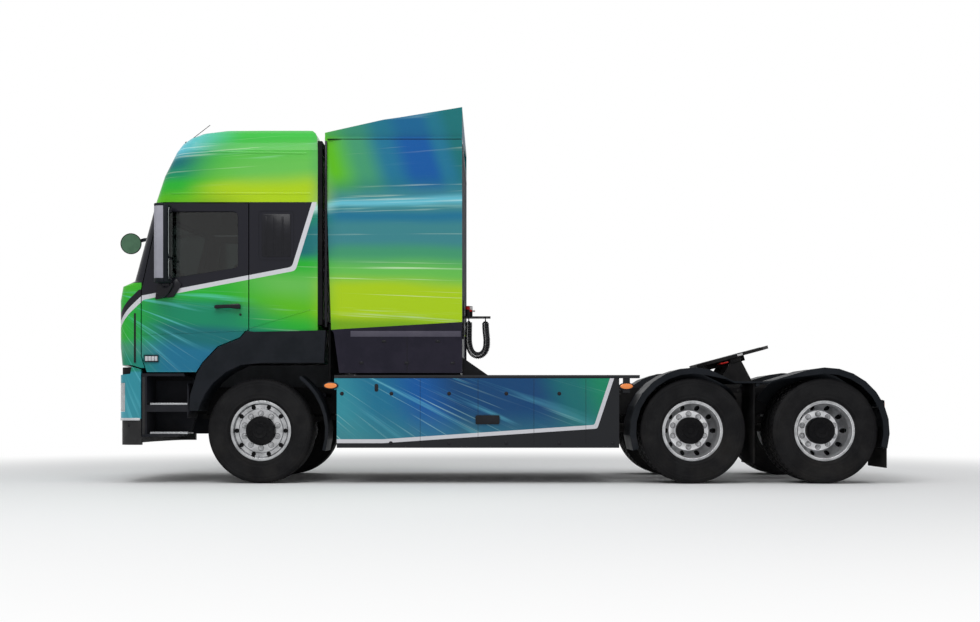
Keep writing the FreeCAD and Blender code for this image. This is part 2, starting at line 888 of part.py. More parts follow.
# Front axle, knuckles and springs
king = S.kingpin_y
axle_parts = [
    box("axle beam", (front_axle - 50, front_axle + 50), (-700, 700), (hub - 80, hub)),
]
for side in (-1, 1):
    inner = 690
    arm_end = prism(
        "axle gooseneck",
        "YZ",
        [
            (inner * side, hub - 80),
            (inner * side, hub),
            ((king - 55) * side, hub + 60),
            ((king - 20) * side, hub + 60),
            ((king - 20) * side, hub - 60),
            ((king - 60) * side, hub - 60),
        ],
        front_axle - 50,
        front_axle + 50,
    )
    axle_parts.append(arm_end)
    eye = rod("axle eye", "Z", (front_axle, king * side, hub - 60), 55, 120)
    axle_parts.append(eye)
    seat_y = (-S.rail_y, -S.rail_y + 90) if side < 0 else (S.rail_y - 90, S.rail_y)
    axle_parts.append(
        box("spring seat", (front_axle - 110, front_axle + 110), seat_y, (hub - 5, hub + 50))
    )
axle_solid = fuse("front axle solid", axle_parts)
pin_holes = [
    rod("king bore", "Z", (front_axle, king * side, hub - 80), 25 + S.running_gap, 160)
    for side in (-1, 1)
]
node(cut("front_axle", axle_solid, pin_holes))

gap = S.running_gap
knuckle = fuse(
    "knuckle_left",
    [
        rod("king pin", "Z", (front_axle, -king, hub - 100), 25, 200),
        box(
            "upper fork",
            (front_axle - 45, front_axle + 45),
            (-king - 100, -king + 35),
            (hub + 60 + gap, hub + 100),
        ),
        box(
            "lower fork",
            (front_axle - 45, front_axle + 45),
            (-king - 100, -king + 35),
            (hub - 100, hub - 60 - gap),
        ),
        box(
            "fork web",
            (front_axle - 60, front_axle + 60),
            (-king - 110, -king - 65),
            (hub - 100, hub + 100),
        ),
        rod("spindle", "Y", (front_axle, -king - 290, hub), 40, 200),
    ],
)
node(knuckle)
node(mirrored("knuckle_right", knuckle))

spring_y = (-S.rail_y, -S.rail_y + 85)
front_spring = prism(
    "front spring",
    "XZ",
    [
        (front_axle - 760, rail_low),
        (front_axle - 760, rail_low - 45),
        (front_axle - 110, hub + 50),
        (front_axle + 110, hub + 50),
        (front_axle + 760, rail_low - 45),
        (front_axle + 760, rail_low),
        (front_axle + 715, rail_low),
        (front_axle + 705, rail_low - 12),
        (front_axle, hub + 105),
        (front_axle - 705, rail_low - 12),
        (front_axle - 715, rail_low),
    ],
    *spring_y,
)
bogie_centre = mid_axle + S.bogie_spread * 0.5
rear_spring = prism(
    "rear spring",
    "XZ",
    [
        (mid_axle - 60, hub + 90),
        (mid_axle + 60, hub + 90),
        (bogie_centre, hub + 60),
        (rear_axle - 60, hub + 90),
        (rear_axle + 60, hub + 90),
        (rear_axle + 60, hub + 115),
        (bogie_centre, hub + 155),
        (mid_axle - 60, hub + 115),
    ],
    *spring_y,
)
trunnion = prism(
    "trunnion bracket",
    "XZ",
    [
        (bogie_centre - 75, hub - 150),
        (bogie_centre + 75, hub - 150),
        (bogie_centre + 130, S.rail_top - 60),
        (bogie_centre - 130, S.rail_top - 60),
    ],
    -S.rail_y - 25,
    -S.rail_y,
)
trunnion_seat = box(
    "trunnion seat", (bogie_centre - 90, bogie_centre + 90), spring_y, (hub - 150, hub + 65)
)
cross_tube = rod("trunnion tube", "Y", (bogie_centre, -S.rail_y - 20, hub - 105), 40, 2 * S.rail_y + 40)
rear_set = fuse("rear spring left", [rear_spring, trunnion, trunnion_seat])
springs = [
    front_spring,
    mirrored("front spring right", front_spring),
    fuse("rear springs", [rear_set, mirrored("rear spring right", rear_set), cross_tube]),
]
node(group("springs", springs))

# Drive axles and motor
tube_end = S.outer_wheel_y - S.dual_spacing - 100
axle_end = S.outer_wheel_y - S.dual_spacing * 0.5 + 150
axles = []
for place in (mid_axle, rear_axle):
    parts = [
        rod("axle tube", "Y", (place, -tube_end, hub), 75, tube_end * 2),
        rod("axle ends", "Y", (place, -axle_end, hub), 60, axle_end * 2),
        rod("final drive", "Y", (place, -150, hub), 195, 300),
        cone("pinion housing", "X", (place - 330, 0, hub + 20), 75, 140, 230),
    ]
    for side in (-1, 1):
        seat_y = (-S.rail_y, -S.rail_y + 85) if side < 0 else (S.rail_y - 85, S.rail_y)
        parts.append(box("axle seat", (place - 60, place + 60), seat_y, (hub + 20, hub + 90)))
    axles.append(fuse("drive axle", parts))
axles.append(
    rod("short shaft", "X", (mid_axle + 190, 0, hub + 20), 42, S.bogie_spread - 520)
)
node(group("drive_axles", axles))
motor_x = (behind(2250), behind(2950))
node(
    fuse(
        "drive_motor",
        [
            box("motor block", motor_x, (-S.rail_y, S.rail_y), (540, rail_low)),
            rod("motor", "X", (motor_x[0] - 60, 0, 600), 150, 820),
            rod("main shaft", "X", (motor_x[1], 0, hub + 20), 50, mid_axle - 330 - motor_x[1]),
        ],
    )
)

# Battery fairing behind the cab, with its dark base and roof deflector
bw = S.body_half_width
thin = S.fairing_wall
fair_x = behind(S.fairing_front)
fair_end = behind(S.fairing_back)
base_front = fair_x + 65
seam_front = 1573
seam_back = 1651
base_low = S.rail_top + 131
facet = 177


def fairing_plan(inset, back):
    """Plan of the fairing: the front corners fall in to meet the cab."""
    front = fair_x + inset
    return [
        (front, -bw + 30 + inset),
        (fair_x + facet + inset, -bw + inset),
        (back, -bw + inset),
        (back, bw - dim(inset)),
        (fair_x + facet + inset, bw - dim(inset)),
        (front, bw - 30 - dim(inset)),
    ]


def fairing_wall(label, low, high, closed_top):
    outer = prism(label + " outer", "XY", fairing_plan(dim(0), fair_end), low, high)
    lid = thin if closed_top else dim(-5)
    inner = prism(
        label + " inner", "XY", fairing_plan(thin, fair_end + 50), low - 5, high - lid
    )
    return cut(label + " wall", outer, [inner])


upper_side = [
    (fair_x, S.fairing_top),
    (base_front, seam_front),
    (fair_end, seam_back),
    (fair_end, S.fairing_top),
]
lower_side = [
    (base_front, seam_front),
    (base_front + 28, seam_front - 33),
    (base_front + 85, base_low),
    (fair_end, base_low),
    (fair_end, seam_back),
]
node(
    common(
        "battery_fairing",
        fairing_wall("fairing", dim(seam_front), S.fairing_top, True),
        prism("fairing side", "XZ", upper_side, -bw, bw),
    )
)
base_ring = cut(
    "base ring",
    prism("base outer", "XY", fairing_plan(dim(0), fair_end), base_low, seam_back),
    [
        prism(
            "base inner",
            "XY",
            [
                (base_front + thin, -bw + 30 + thin),
                (fair_x + facet + thin, -bw + thin),
                (fair_end + 50, -bw + thin),
                (fair_end + 50, bw - thin),
                (fair_x + facet + thin, bw - thin),
                (base_front + thin, bw - 30 - thin),
            ],
            base_low - 5,
            seam_back + 5,
        )
    ],
)
node(
    common("fairing_base", base_ring, prism("base side", "XZ", lower_side, -bw, bw))
)

deflector_side = [
    (fair_x, S.fairing_top),
    (fair_x, S.fairing_top + 50),
    (fair_x + 600, S.fairing_top + 185),
    (fair_x + 765, S.fairing_top + 208),
    (fair_end, S.fairing_top + 313),
    (fair_end, S.fairing_top),
]
deflector_hollow = [
    (fair_x + thin, S.fairing_top - 5),
    (fair_x + thin, S.fairing_top + 26),
    (fair_x + 600, S.fairing_top + 155),
    (fair_x + 765, S.fairing_top + 178),
    (fair_end + 50, S.fairing_top + 287),
    (fair_end + 50, S.fairing_top - 5),
]
node(
    cut(
        "roof_deflector",
        prism("deflector outer", "XZ", deflector_side, -bw + 40, bw - 40),
        [prism("deflector inner", "XZ", deflector_hollow, -bw + 70, bw - 70)],
    )
)

# Battery packs: one stack inside the fairing, one block behind each skirt
stack_x = (fair_x + facet + 60, fair_end - 25)
stack = fuse(
    "battery stack",
    [
        box("stack block", stack_x, (-bw + thin, bw - thin), (base_low, S.fairing_top - thin)),
        box("stack foot", stack_x, (-S.rail_y, S.rail_y), (S.rail_top, base_low)),
    ],
)
skirt_x = (behind(S.skirt_front), behind(S.skirt_back))
skirt_in = -bw + S.skirt_thick
pack = box(
    "side pack",
    (skirt_x[0] + 60, skirt_x[1] - 40),
    (skirt_in, -S.rail_y),
    (S.skirt_bottom + 60, S.rail_top - 10),
)
node(group("battery_packs", [stack, pack, mirrored("side pack right", pack)]))

# Side skirts with their top rail and the lamp posts
rail_bar_low = S.skirt_top - 31
skirt_panel = box(
    "skirt panel", skirt_x, (-bw, skirt_in), (S.skirt_bottom, rail_bar_low)
)
skirt_bar = box(
    "skirt bar", (skirt_x[0] - 26, skirt_x[1] + 210), (-bw, -bw + 95), (rail_bar_low, S.skirt_top)
)
rear_post = box(
    "rear lamp post",
    (skirt_x[1] + 40, skirt_x[1] + 110),
    (-bw + 5, -bw + 40),
    (930, rail_bar_low),
)
front_post = box(
    "front lamp post", (skirt_x[0] - 26, skirt_x[0]), (-bw + 5, -bw + 40), (960, rail_bar_low)
)
node(pair("side_skirts", fuse("skirt left", [skirt_panel, skirt_bar, rear_post, front_post])))

# Mudguards of the front wheels and double arches of the drive wheels
def ring_points(axle, radius, start, end, steps):
    """Points on an arc round an axle; the radius is a Dim."""
    result = []
    for k in range(steps + 1):
        angle = math.radians(start + (end - start) * k / steps)
        result.append((axle + radius * math.cos(angle), hub + radius * math.sin(angle)))
    return result


guard_inner = ring_points(front_axle, S.arch_radius, -17, 53, 7)
guard_outer = ring_points(front_axle, S.arch_radius + S.arch_band, 53, -17, 7)
guard = prism("mudguard", "XZ", guard_inner + guard_outer, -hw, -hw + 400)
guard_arm = box(
    "mudguard bracket",
    (front_axle + 560, front_axle + 630),
    (-hw + 395, -S.rail_y),
    (hub + 350, hub + 390),
)
node(pair("front_mudguards", fuse("mudguard left", [guard, guard_arm])))

fender_r = S.tyre_radius + S.fender_gap + S.fender_thick


def fender_line(radius, drop):
    first = ring_points(mid_axle, radius, 198, 75, 9)
    saddle = [(bogie_centre - 250, hub + 499 - drop), (bogie_centre + 80, hub + 499 - drop)]
    last = ring_points(rear_axle, radius, 105, -16, 9)
    return first + saddle + last


fender_out = fender_line(fender_r, dim(0))
fender_in = fender_line(fender_r - S.fender_thick, S.fender_thick)
lip_in = fender_line(fender_r - 62, dim(-8))
fender_y = (-bw - 30, -bw + 605)
fender_top = prism("fender top", "XZ", fender_out + fender_in[::-1], *fender_y)
fender_lip = prism("fender lip", "XZ", fender_out + lip_in[::-1], -bw - 30, -bw - 17)
stay_r = S.tyre_radius + 72
stays = []
for axle, angle in ((mid_axle, 155), (rear_axle, 25)):
    place = ring_points(axle, stay_r, angle, angle, 1)[0]
    stays.append(
        rod("fender stay", "Y", (place[0], -bw - 20, place[1]), 20, bw + 20 - S.rail_y)
    )
stays.append(
    rod("fender stay", "Y", (bogie_centre - 20, -bw - 20, hub + 471), 20, bw + 20 - S.rail_y)
)
node(pair("rear_fenders", fuse("fender left", [fender_top, fender_lip] + stays)))

centre_flap = box(
    "centre flap",
    (bogie_centre - 61, bogie_centre - 51),
    (-bw - 15, -bw + 600),
    (209, hub + 487),
)
fender_end = fender_line(fender_r, dim(0))[-1]
rear_flap = box(
    "rear flap",
    (fender_end[0] - 12, fender_end[0]),
    (-bw - 14, -bw + 600),
    (163, fender_end[1] - S.running_gap),
)
flap_set = group("flaps left", [centre_flap, rear_flap])
node(pair("mudflaps", flap_set))

# Lamps: tail lamps on the rear beam and amber side markers
tail_lamp = box("tail lamp", (tail - 28, tail), (-930, -560), (700, 850))
rear_marker = box(
    "rear marker",
    (skirt_x[1] + 8, skirt_x[1] + 140),
    (-bw - 12, -bw + 5),
    (968, 1019),
)
front_marker = box(
    "front marker",
    (skirt_x[0] - 125, skirt_x[0] + 2),
    (-bw - 12, -bw),
    (968, 1019),
)
lamp_sets = [tail_lamp, rear_marker, front_marker]
node(
    group(
        "lamps",
        lamp_sets + [mirrored(item.Label + " right", item) for item in lamp_sets],
    )
)

# Hose stand behind the fairing and the coiled air hoses it holds
stand_x = fair_end
stand_z = 1717
stand = fuse(
    "hose_stand",
    [
        box("stand plate", (stand_x, stand_x + 290), (-960, -800), (stand_z, stand_z + 14)),
        box("stand back", (stand_x, stand_x + 14), (-960, -800), (1500, 1900)),
        box("stand neck", (stand_x - 25, stand_x), (-960, -800), (1500, 1900)),
        rod("coupling red", "Z", (stand_x + 50, -920, stand_z + 14), 22, 110),
        rod("coupling white", "Z", (stand_x + 80, -880, stand_z + 14), 22, 110),
        rod("coupling yellow", "Z", (stand_x + 50, -840, stand_z + 14), 22, 110),
        prism(
            "gusset",
            "XZ",
            [(stand_x, S.skirt_top), (stand_x + 265, S.skirt_top), (stand_x, S.skirt_top + 185)],
            -bw + 60,
            -bw + 75,
        ),
    ],
)
node(stand)


def hose(label, points, radius, y):
    """A round tube through points of one XZ plane, with arcs at the turns."""
    spots = [V(dim(a).value, dim(y).value, dim(b).value) for a, b in points]
    edges = []
    last = spots[0]
    for k in range(1, len(spots) - 1):
        before = spots[k - 1] - spots[k]
        after = spots[k + 1] - spots[k]
        bend = math.pi - before.getAngle(after)
        trim = 0.45 * min(before.Length, after.Length)
        start = spots[k] + before * (trim / before.Length)
        end = spots[k] + after * (trim / after.Length)
        arc_r = trim / math.tan(bend / 2)
        half = (before.normalize() + after.normalize()).normalize()
        mid = spots[k] + half * (arc_r / math.cos(bend / 2) - arc_r)
        print(label, "bend radius", round(arc_r, 1))
        edges.append(Part.LineSegment(last, start).toShape())
        edges.append(Part.Arc(start, mid, end).toShape())
        last = end
    edges.append(Part.LineSegment(last, spots[-1]).toShape())
    path = Part.Wire(edges)
    ring = Part.Wire(Part.Circle(spots[0], spots[1] - spots[0], radius).toShape())
    solid = path.makePipeShell([ring], True, True)
    print(label, "volume ratio", solid.Volume / (math.pi * radius ** 2 * path.Length))
    obj = named("Part::Feature", label)
    obj.Shape = solid
    return obj


coil_x = stand_x + 62
node(
    hose(
        "air_coils",
        [
            (coil_x, stand_z),
            (coil_x, 1600),
            (coil_x - 4, 1450),
            (coil_x + 30, 1345),
            (coil_x + 110, 1316),
            (coil_x + 180, 1370),
            (coil_x + 192, 1480),
            (coil_x + 175, 1610),
            (coil_x + 175, stand_z),
        ],
        39,
        -880,
    )
)

# Coupling for the trailer: base, pivots and the tilting plate
plate_x = mid_axle + S.plate_pivot_x
plate_z = S.plate_pivot_z
pedestal = prism(
    "pedestal",
    "XZ",
    [
        (plate_x - 190, S.rail_top + 30),
        (plate_x + 190, S.rail_top + 30),
        (plate_x + 55, plate_z + 40),
        (plate_x + 30, plate_z + 55),
        (plate_x - 30, plate_z + 55),
        (plate_x - 55, plate_z + 40),
    ],
    -420,
    -380,
)
pivot_pin = rod("pivot pin", "Y", (plate_x, -420, plate_z), 25, 100)
node(
    fuse(
        "coupling_base",
        [
            box(
                "base plate",
                (plate_x - 330, plate_x + 520),
                (-S.rail_y, S.rail_y),
                (S.rail_top, S.rail_top + 30),
            ),
            pedestal,
            mirrored("pedestal right", pedestal),
            pivot_pin,
            mirrored("pivot pin right", pivot_pin),
        ],
    )
)
plate_outline = [
    (-390, -250),
    (-390, 250),
    (-300, 400),
    (-120, 450),
    (180, 450),
    (330, 400),
    (430, 200),
    (120, 40),
    (0, 40),
    (-35, 0),
    (0, -40),
    (120, -40),
    (430, -200),
    (330, -400),
    (180, -450),
    (-120, -450),
    (-300, -400),
]
plate_top = prism("plate top", "XY", plate_outline, 75, 110)
ear = cut(
    "plate ear",
    prism("ear", "XZ", [(-90, 76), (-35, -35), (35, -35), (90, 76)], -370, -330),
    [rod("ear bore", "Y", (0, -380, 0), 25 + S.running_gap, 60)],
)
ribs = [
    box("plate rib", (-330, 150), (side * 180 - 12, side * 180 + 12), (15, 76)) for side in (-1, 1)
]
ribs.append(box("plate cross rib", (-330, -300), (-330, 330), (15, 76)))
plate = fuse("fifth_wheel", [plate_top, ear, mirrored("ear right", ear)] + ribs)
plate.Placement = FreeCAD.Placement(V(), FreeCAD.Rotation(V(0, 1, 0), -15))
plate.setExpression("Placement.Rotation.Angle", "Sizes.plate_tilt * 1 deg")
plate.Placement = FreeCAD.Placement(V(), FreeCAD.Rotation(V(0, -1, 0), 15))
move(plate, plate_x, 0, plate_z)
node(plate)

# Wheels
rim = S.rim_radius
half = S.tyre_width * 0.5


def tyre(label, y, axle):
    """A tyre turned about its own centre."""
    outer = S.tyre_radius
    side = [
        (rim, half * 0.68),
        (rim + 14, half * 0.68),
        (rim + 24, half * 0.68 + 10),
        (rim + 45, half * 0.93),
        (rim + 130, half),
        (outer - 55, half * 0.98),
        (outer - 16, half * 0.9),
        (outer, half * 0.74),
    ]
    profile = side + [(a, -b) for a, b in reversed(side)]
    return turned(label, profile, (axle, y, hub))


def drilled(label, base, count, circle, radius, place, length):
    """Through holes on a circle round the wheel's axis."""
    tools = []
    for k in range(count):
        angle = 2 * math.pi * k / count
        tools.append(
            rod(
                "wheel hole",
                "Y",
                (
                    place[0] + circle * math.cos(angle),
                    place[1],
                    place[2] + circle * math.sin(angle),
                ),
                radius,
                length,
            )
        )
    return cut(label, base, tools)


def barrel(disc):
    """Rim section with a disc; disc gives (outer face, inner face) along the axle."""
    lip = half * 0.68
    near, far = disc
    return [
        (rim, lip),
        (rim + 14, lip),
        (rim + 14, lip + 9),
        (rim - 8, lip + 9),
        (rim - 14, lip - 8),
        (rim - 14, far + 12),
        (rim - 22, far),
        (150, far),
        (150, near - 10),
        (rim - 68, near - 10),
        (rim - 58, near),
        (rim - 22, near),
        (rim - 14, near - 12),
        (rim - 14, -lip + 8),
        (rim - 8, -lip - 9),
        (rim + 14, -lip - 9),
        (rim + 14, -lip),
        (rim, -lip),
    ]


def dished(depth, thick):
    """Rim section of a twin wheel: the disc stands out past the inner lip."""
    lip = half * 0.68
    return [
        (rim, lip),
        (rim + 14, lip),
        (rim + 14, lip + 9),
        (rim - 8, lip + 9),
        (rim - 14, lip - 2),
        (rim - 14, 44),
        (rim - 68, depth),
        (150, depth),
        (150, depth - thick),
        (rim - 82, depth - thick),
        (rim - 14, 4),
        (rim - 14, -lip + 8),
        (rim - 8, -lip - 9),
        (rim + 14, -lip - 9),
        (rim + 14, -lip),
        (rim, -lip),
    ]


front_y = -S.front_wheel_y
front_rim = turned("front rim", barrel((dim(-82), dim(-70))), (front_axle, front_y, hub))
front_rim = drilled(
    "front rim drilled", front_rim, 10, 250, 23, (front_axle, front_y - 120, hub), 90
)
bore = 40 + gap
front_hub = turned(
    "front hub",
    [
        (bore, 60),
        (170, 60),
        (170, -20),
        (196, -60),
        (196, -70),
        (150, -70),
        (150, -95),
        (135, -105),
        (135, -150),
        (110, -165),
        (0, -165),
        (0, -140),
        (bore, -140),
    ],
    (front_axle, front_y, hub),
)
front_wheel = fuse("front_rim_left", [front_rim, front_hub])
front_tyre = tyre("front_tyre_left", front_y, front_axle)
node(front_tyre)
node(mirrored("front_tyre_right", front_tyre))
node(front_wheel)
node(mirrored("front_rim_right", front_wheel))

outer_y = -S.outer_wheel_y
inner_y = outer_y + S.dual_spacing
mid_y = (outer_y + inner_y) * 0.5
reach = S.dual_spacing * 0.5
end_bore = 60 + gap
for name, axle in (("mid", mid_axle), ("rear", rear_axle)):
    section = dished(reach, 13)
    outer_rim = turned("outer rim", section, (axle, outer_y, hub))
    inner_rim = turned("inner rim", [(a, -b) for a, b in section], (axle, inner_y, hub))
    outer_rim = drilled(
        "outer rim drilled", outer_rim, 10, 243, 27, (axle, mid_y - 175, hub), 180
    )
    drive_hub = turned(
        "drive hub",
        [
            (end_bore, 60),
            (190, 60),
            (190, 13),
            (150, 13),
            (150, -25),
            (138, -30),
            (138, -150),
            (118, -165),
            (0, -165),
            (0, -160),
            (end_bore, -160),
        ],
        (axle, mid_y, hub),
    )
    inner_rim_cut = drilled(
        "inner rim drilled", inner_rim, 10, 243, 27, (axle, mid_y - 5, hub), 180
    )
    rims = fuse(f"{name}_rim_left", [outer_rim, inner_rim_cut, drive_hub])
    tyres = group(
        f"{name}_tyres_left",
        [tyre("outer tyre", outer_y, axle), tyre("inner tyre", inner_y, axle)],
    )
    node(tyres)
    node(mirrored(f"{name}_tyres_right", tyres))
    node(rims)
    node(mirrored(f"{name}_rim_right", rims))

# Check every object, then write one file per piece
doc.recompute()
failed = []
for item in doc.Objects:
    if "Invalid" in item.State or "Error" in item.State:
        failed.append(f"{item.Label}: {item.State}")
for item in NODES:
    shape = item.Shape
    if shape.isNull() or not shape.isValid() or not shape.Solids:
        failed.append(f"{item.Label}: bad shape")
if failed:
    raise RuntimeError("; ".join(failed))
for item in NODES:
    item.Shape.exportStep(f"parts/{item.Label}.step")
    limits = item.Shape.BoundBox
    print(
        item.Label,
        len(item.Shape.Solids),
        round(item.Shape.Volume / 1e9, 4),
        [round(v) for v in (limits.XMin, limits.XMax, limits.YMin, limits.YMax)],
        [round(v) for v in (limits.ZMin, limits.ZMax)],
    )
print(len(NODES), "pieces")
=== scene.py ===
# %% [markdown]
# # A decorated tractor truck
# The construction model gives the shapes and the joints of a three-axle tractor truck.
# This lesson dresses it: painted panels, rubber, polished wheels, glass and small fittings.
# Everything is in metres. +X points to the rear of the truck, -Y to the driver's side.

# %% Load the construction model
import json
import math
import bmesh
import bpy
from mathutils import Matrix, Vector
from mathutils.bvhtree import BVHTree

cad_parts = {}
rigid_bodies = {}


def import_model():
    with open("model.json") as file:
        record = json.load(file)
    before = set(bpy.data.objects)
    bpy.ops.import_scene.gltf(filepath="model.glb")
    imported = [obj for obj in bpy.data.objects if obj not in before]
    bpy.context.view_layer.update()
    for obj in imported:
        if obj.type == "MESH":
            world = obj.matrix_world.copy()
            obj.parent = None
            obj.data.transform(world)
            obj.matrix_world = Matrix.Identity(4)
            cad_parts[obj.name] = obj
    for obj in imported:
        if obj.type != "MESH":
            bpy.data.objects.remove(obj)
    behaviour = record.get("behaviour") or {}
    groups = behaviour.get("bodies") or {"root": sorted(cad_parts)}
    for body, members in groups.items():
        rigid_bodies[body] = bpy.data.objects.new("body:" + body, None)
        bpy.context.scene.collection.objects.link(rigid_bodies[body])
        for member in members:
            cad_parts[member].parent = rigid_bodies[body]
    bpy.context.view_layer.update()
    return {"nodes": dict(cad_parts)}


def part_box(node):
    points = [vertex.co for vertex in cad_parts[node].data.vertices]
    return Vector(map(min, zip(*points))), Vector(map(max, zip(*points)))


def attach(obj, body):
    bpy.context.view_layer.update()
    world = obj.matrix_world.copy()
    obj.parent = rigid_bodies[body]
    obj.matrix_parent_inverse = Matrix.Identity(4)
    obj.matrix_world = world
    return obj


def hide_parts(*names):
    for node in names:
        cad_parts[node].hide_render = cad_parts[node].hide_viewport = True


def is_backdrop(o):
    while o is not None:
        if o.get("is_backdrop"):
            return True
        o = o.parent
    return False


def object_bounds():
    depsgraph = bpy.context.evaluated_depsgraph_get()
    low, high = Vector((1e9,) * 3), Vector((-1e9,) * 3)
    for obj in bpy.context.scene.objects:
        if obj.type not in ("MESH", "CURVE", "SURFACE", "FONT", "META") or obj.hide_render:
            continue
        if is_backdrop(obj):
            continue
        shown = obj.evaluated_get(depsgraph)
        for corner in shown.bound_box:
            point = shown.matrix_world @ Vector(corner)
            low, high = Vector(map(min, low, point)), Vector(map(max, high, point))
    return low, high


for leftover in list(bpy.data.objects):
    bpy.data.objects.remove(leftover)
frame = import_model()
nodes = frame["nodes"]

# %% [markdown]
# ## Places that many pieces share
# The axles, the side plane and the heights come first, so that each later piece can be
# placed from them. Pieces on the left side are made once and mirrored to the right.

# %% Shared places
def middle(name):
    """The middle of a construction piece's box."""
    corner_low, corner_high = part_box(name)
    return (Vector(corner_low) + Vector(corner_high)) / 2


def back(distance):
    """A place behind the front axle, or ahead of it when negative."""
    return FRONT_AXLE + distance


FRONT_AXLE = middle("front_tyre_left").x
MID_AXLE = middle("mid_tyres_left").x
REAR_AXLE = middle("rear_tyres_left").x
HUB = middle("front_tyre_left").z
SIDE = 1.245
NOSE = back(-1.447)
CAB_REAR, ROOF_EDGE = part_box("cab_shell")[1].x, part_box("cab_shell")[1].z
print("axles", [round(v, 4) for v in (FRONT_AXLE, MID_AXLE, REAR_AXLE)], "nose", round(NOSE, 3))

# %% [markdown]
# ## Camera, floor and light
# The picture was taken square to the side from about thirteen metres, at the height of
# the mudguards: the tops of the far side's parts are hidden behind the near ones. The
# lens is shifted up, as on a camera that is held level. The light is a plain soft
# studio: a big lamp overhead, a weaker one in front, and a pale world, so that every
# colour shows about as it is written.

# %% Camera
def linked(item):
    """Puts an object into the scene."""
    bpy.context.scene.collection.objects.link(item)
    return item


camera = linked(bpy.data.objects.new("camera", bpy.data.cameras.new("camera")))
camera.data.sensor_width = 36
camera.data.lens = 46.8
camera.data.clip_end = 200
camera.data.shift_y = 0.104
camera.location = (back(2.3535), -14.24, 0.7235)
camera.rotation_euler = (math.radians(90), 0, 0)
bpy.context.scene.camera = camera

# %% Shader graph helper
def paint(red, green, blue):
    """A colour with full cover, given in linear light."""
    return (red, green, blue, 1.0)


class Graph:
    """Adds shader nodes to one tree and joins them by name."""

    def __init__(self, tree):
        self.tree = tree

    def add(self, kind, options=None, **inputs):
        node = self.tree.nodes.new("ShaderNode" + kind)
        for key, value in (options or {}).items():
            setattr(node, key, value)
        for key, value in inputs.items():
            self.feed(node.inputs[key.replace("_", " ")], value)
        return node

    def feed(self, socket, value):
        if isinstance(value, bpy.types.NodeSocket):
            self.tree.links.new(value, socket)
        else:
            socket.default_value = value

    def math(self, operation, *values):
        node = self.add("Math", {"operation": operation})
        for socket, value in zip(node.inputs, values):
            self.feed(socket, value)
        return node.outputs[0]

    def times(self, result, *others):
        for other in others:
            result = self.math("MULTIPLY", result, other)
        return result

    def plus(self, first, second):
        return self.math("ADD", first, second)

    def minus(self, first, second):
        return self.math("SUBTRACT", first, second)

    def step(self, value, low, high, kind="SMOOTHSTEP"):
        """0 below low, 1 above high, and a smooth rise between them."""
        node = self.add("MapRange", {"interpolation_type": kind})
        for socket, item in zip(node.inputs, (value, low, high, 0.0, 1.0)):
            self.feed(socket, item)
        return node.outputs[0]

    def below(self, value, low, high):
        """1 below low, 0 above high."""
        return self.minus(1.0, self.step(value, low, high))

    def mix(self, factor, first, second, blend="MIX"):
        node = self.add("Mix", {"data_type": "RGBA", "blend_type": blend})
        for index, value in ((0, factor), (6, first), (7, second)):
            self.feed(node.inputs[index], value)
        return node.outputs[2]

    def noise(self, vector, scale, detail=2.0, roughness=0.5):
        node = self.add("TexNoise", Vector=vector, Scale=scale, Detail=detail, Roughness=roughness)
        return node.outputs[0]

    def point(self, x, y, z=0.0):
        return self.add("CombineXYZ", X=x, Y=y, Z=z).outputs[0]

    def scale(self, value, low, high, stops):
        """Colours along real places from low to high; stops are (place, colour)."""
        ramp = self.add("ValToRGB", Fac=self.step(value, low, high, "LINEAR"))
        elements = ramp.color_ramp.elements
        ramp.color_ramp.interpolation = "EASE"
        stops = [((place - low) / (high - low), colour) for place, colour in stops]
        for place, colour in stops[1:-1]:
            elements.new(place)
        for element, (place, colour) in zip(elements, stops):
            element.position, element.color = place, colour
        return ramp.outputs[0]

    def group(self, name, **inputs):
        return self.add("Group", {"node_tree": bpy.data.node_groups[name]}, **inputs).outputs


# %% Material helper
class Finish(Graph):
    """The graph of a new material, with its shader's plain settings."""

    def __init__(self, name, **settings):
        self.item = bpy.data.materials.new(name)
        self.item.use_nodes = True
        super().__init__(self.item.node_tree)
        self.shader = self.tree.nodes["Principled BSDF"]
        for key, value in settings.items():
            self.shader.inputs[key.replace("_", " ")].default_value = value
        self.place = self.add("TexCoord").outputs["Object"]

    def cover(self, colour, roughness=None):
        """Sets the colour, and the roughness too where it varies."""
        self.feed(self.shader.inputs["Base Color"], colour)
        if roughness is not None:
            self.feed(self.shader.inputs["Roughness"], roughness)
        return self.item

    def dust(self, amount, top):
        return self.group("road dust", Position=self.place, Amount=amount, Top=top)[0]

    def bump(self, height, distance, strength, width=0.0):
        """Feeds a height to the shader's normal; width rounds sharp edges softly."""
        node = self.add("Bump", Height=height, Distance=distance, Strength=strength)
        if width:
            soft = self.add("Bevel", {"samples": 4}, Radius=width)
            self.feed(node.inputs["Normal"], soft.outputs[0])
        self.feed(self.shader.inputs["Normal"], node.outputs[0])


# %% World, floor and lamps
WHITE = paint(1, 1, 1)
WORLD_LIGHT = 0.55


def shown_as(graph, light, shown, rays, extent=1.0):
    """Mixes two shaders: one lights the truck, the other is what the named rays meet."""
    path = graph.add("LightPath").outputs
    seen = path["Is Camera Ray"]
    for kind in rays:
        seen = graph.math("MAXIMUM", seen, path[f"Is {kind} Ray"])
    mixed = graph.add("MixShader")
    for socket, value in zip(mixed.inputs, (graph.times(seen, extent), light, shown)):
        graph.feed(socket, value)
    return mixed.outputs[0]


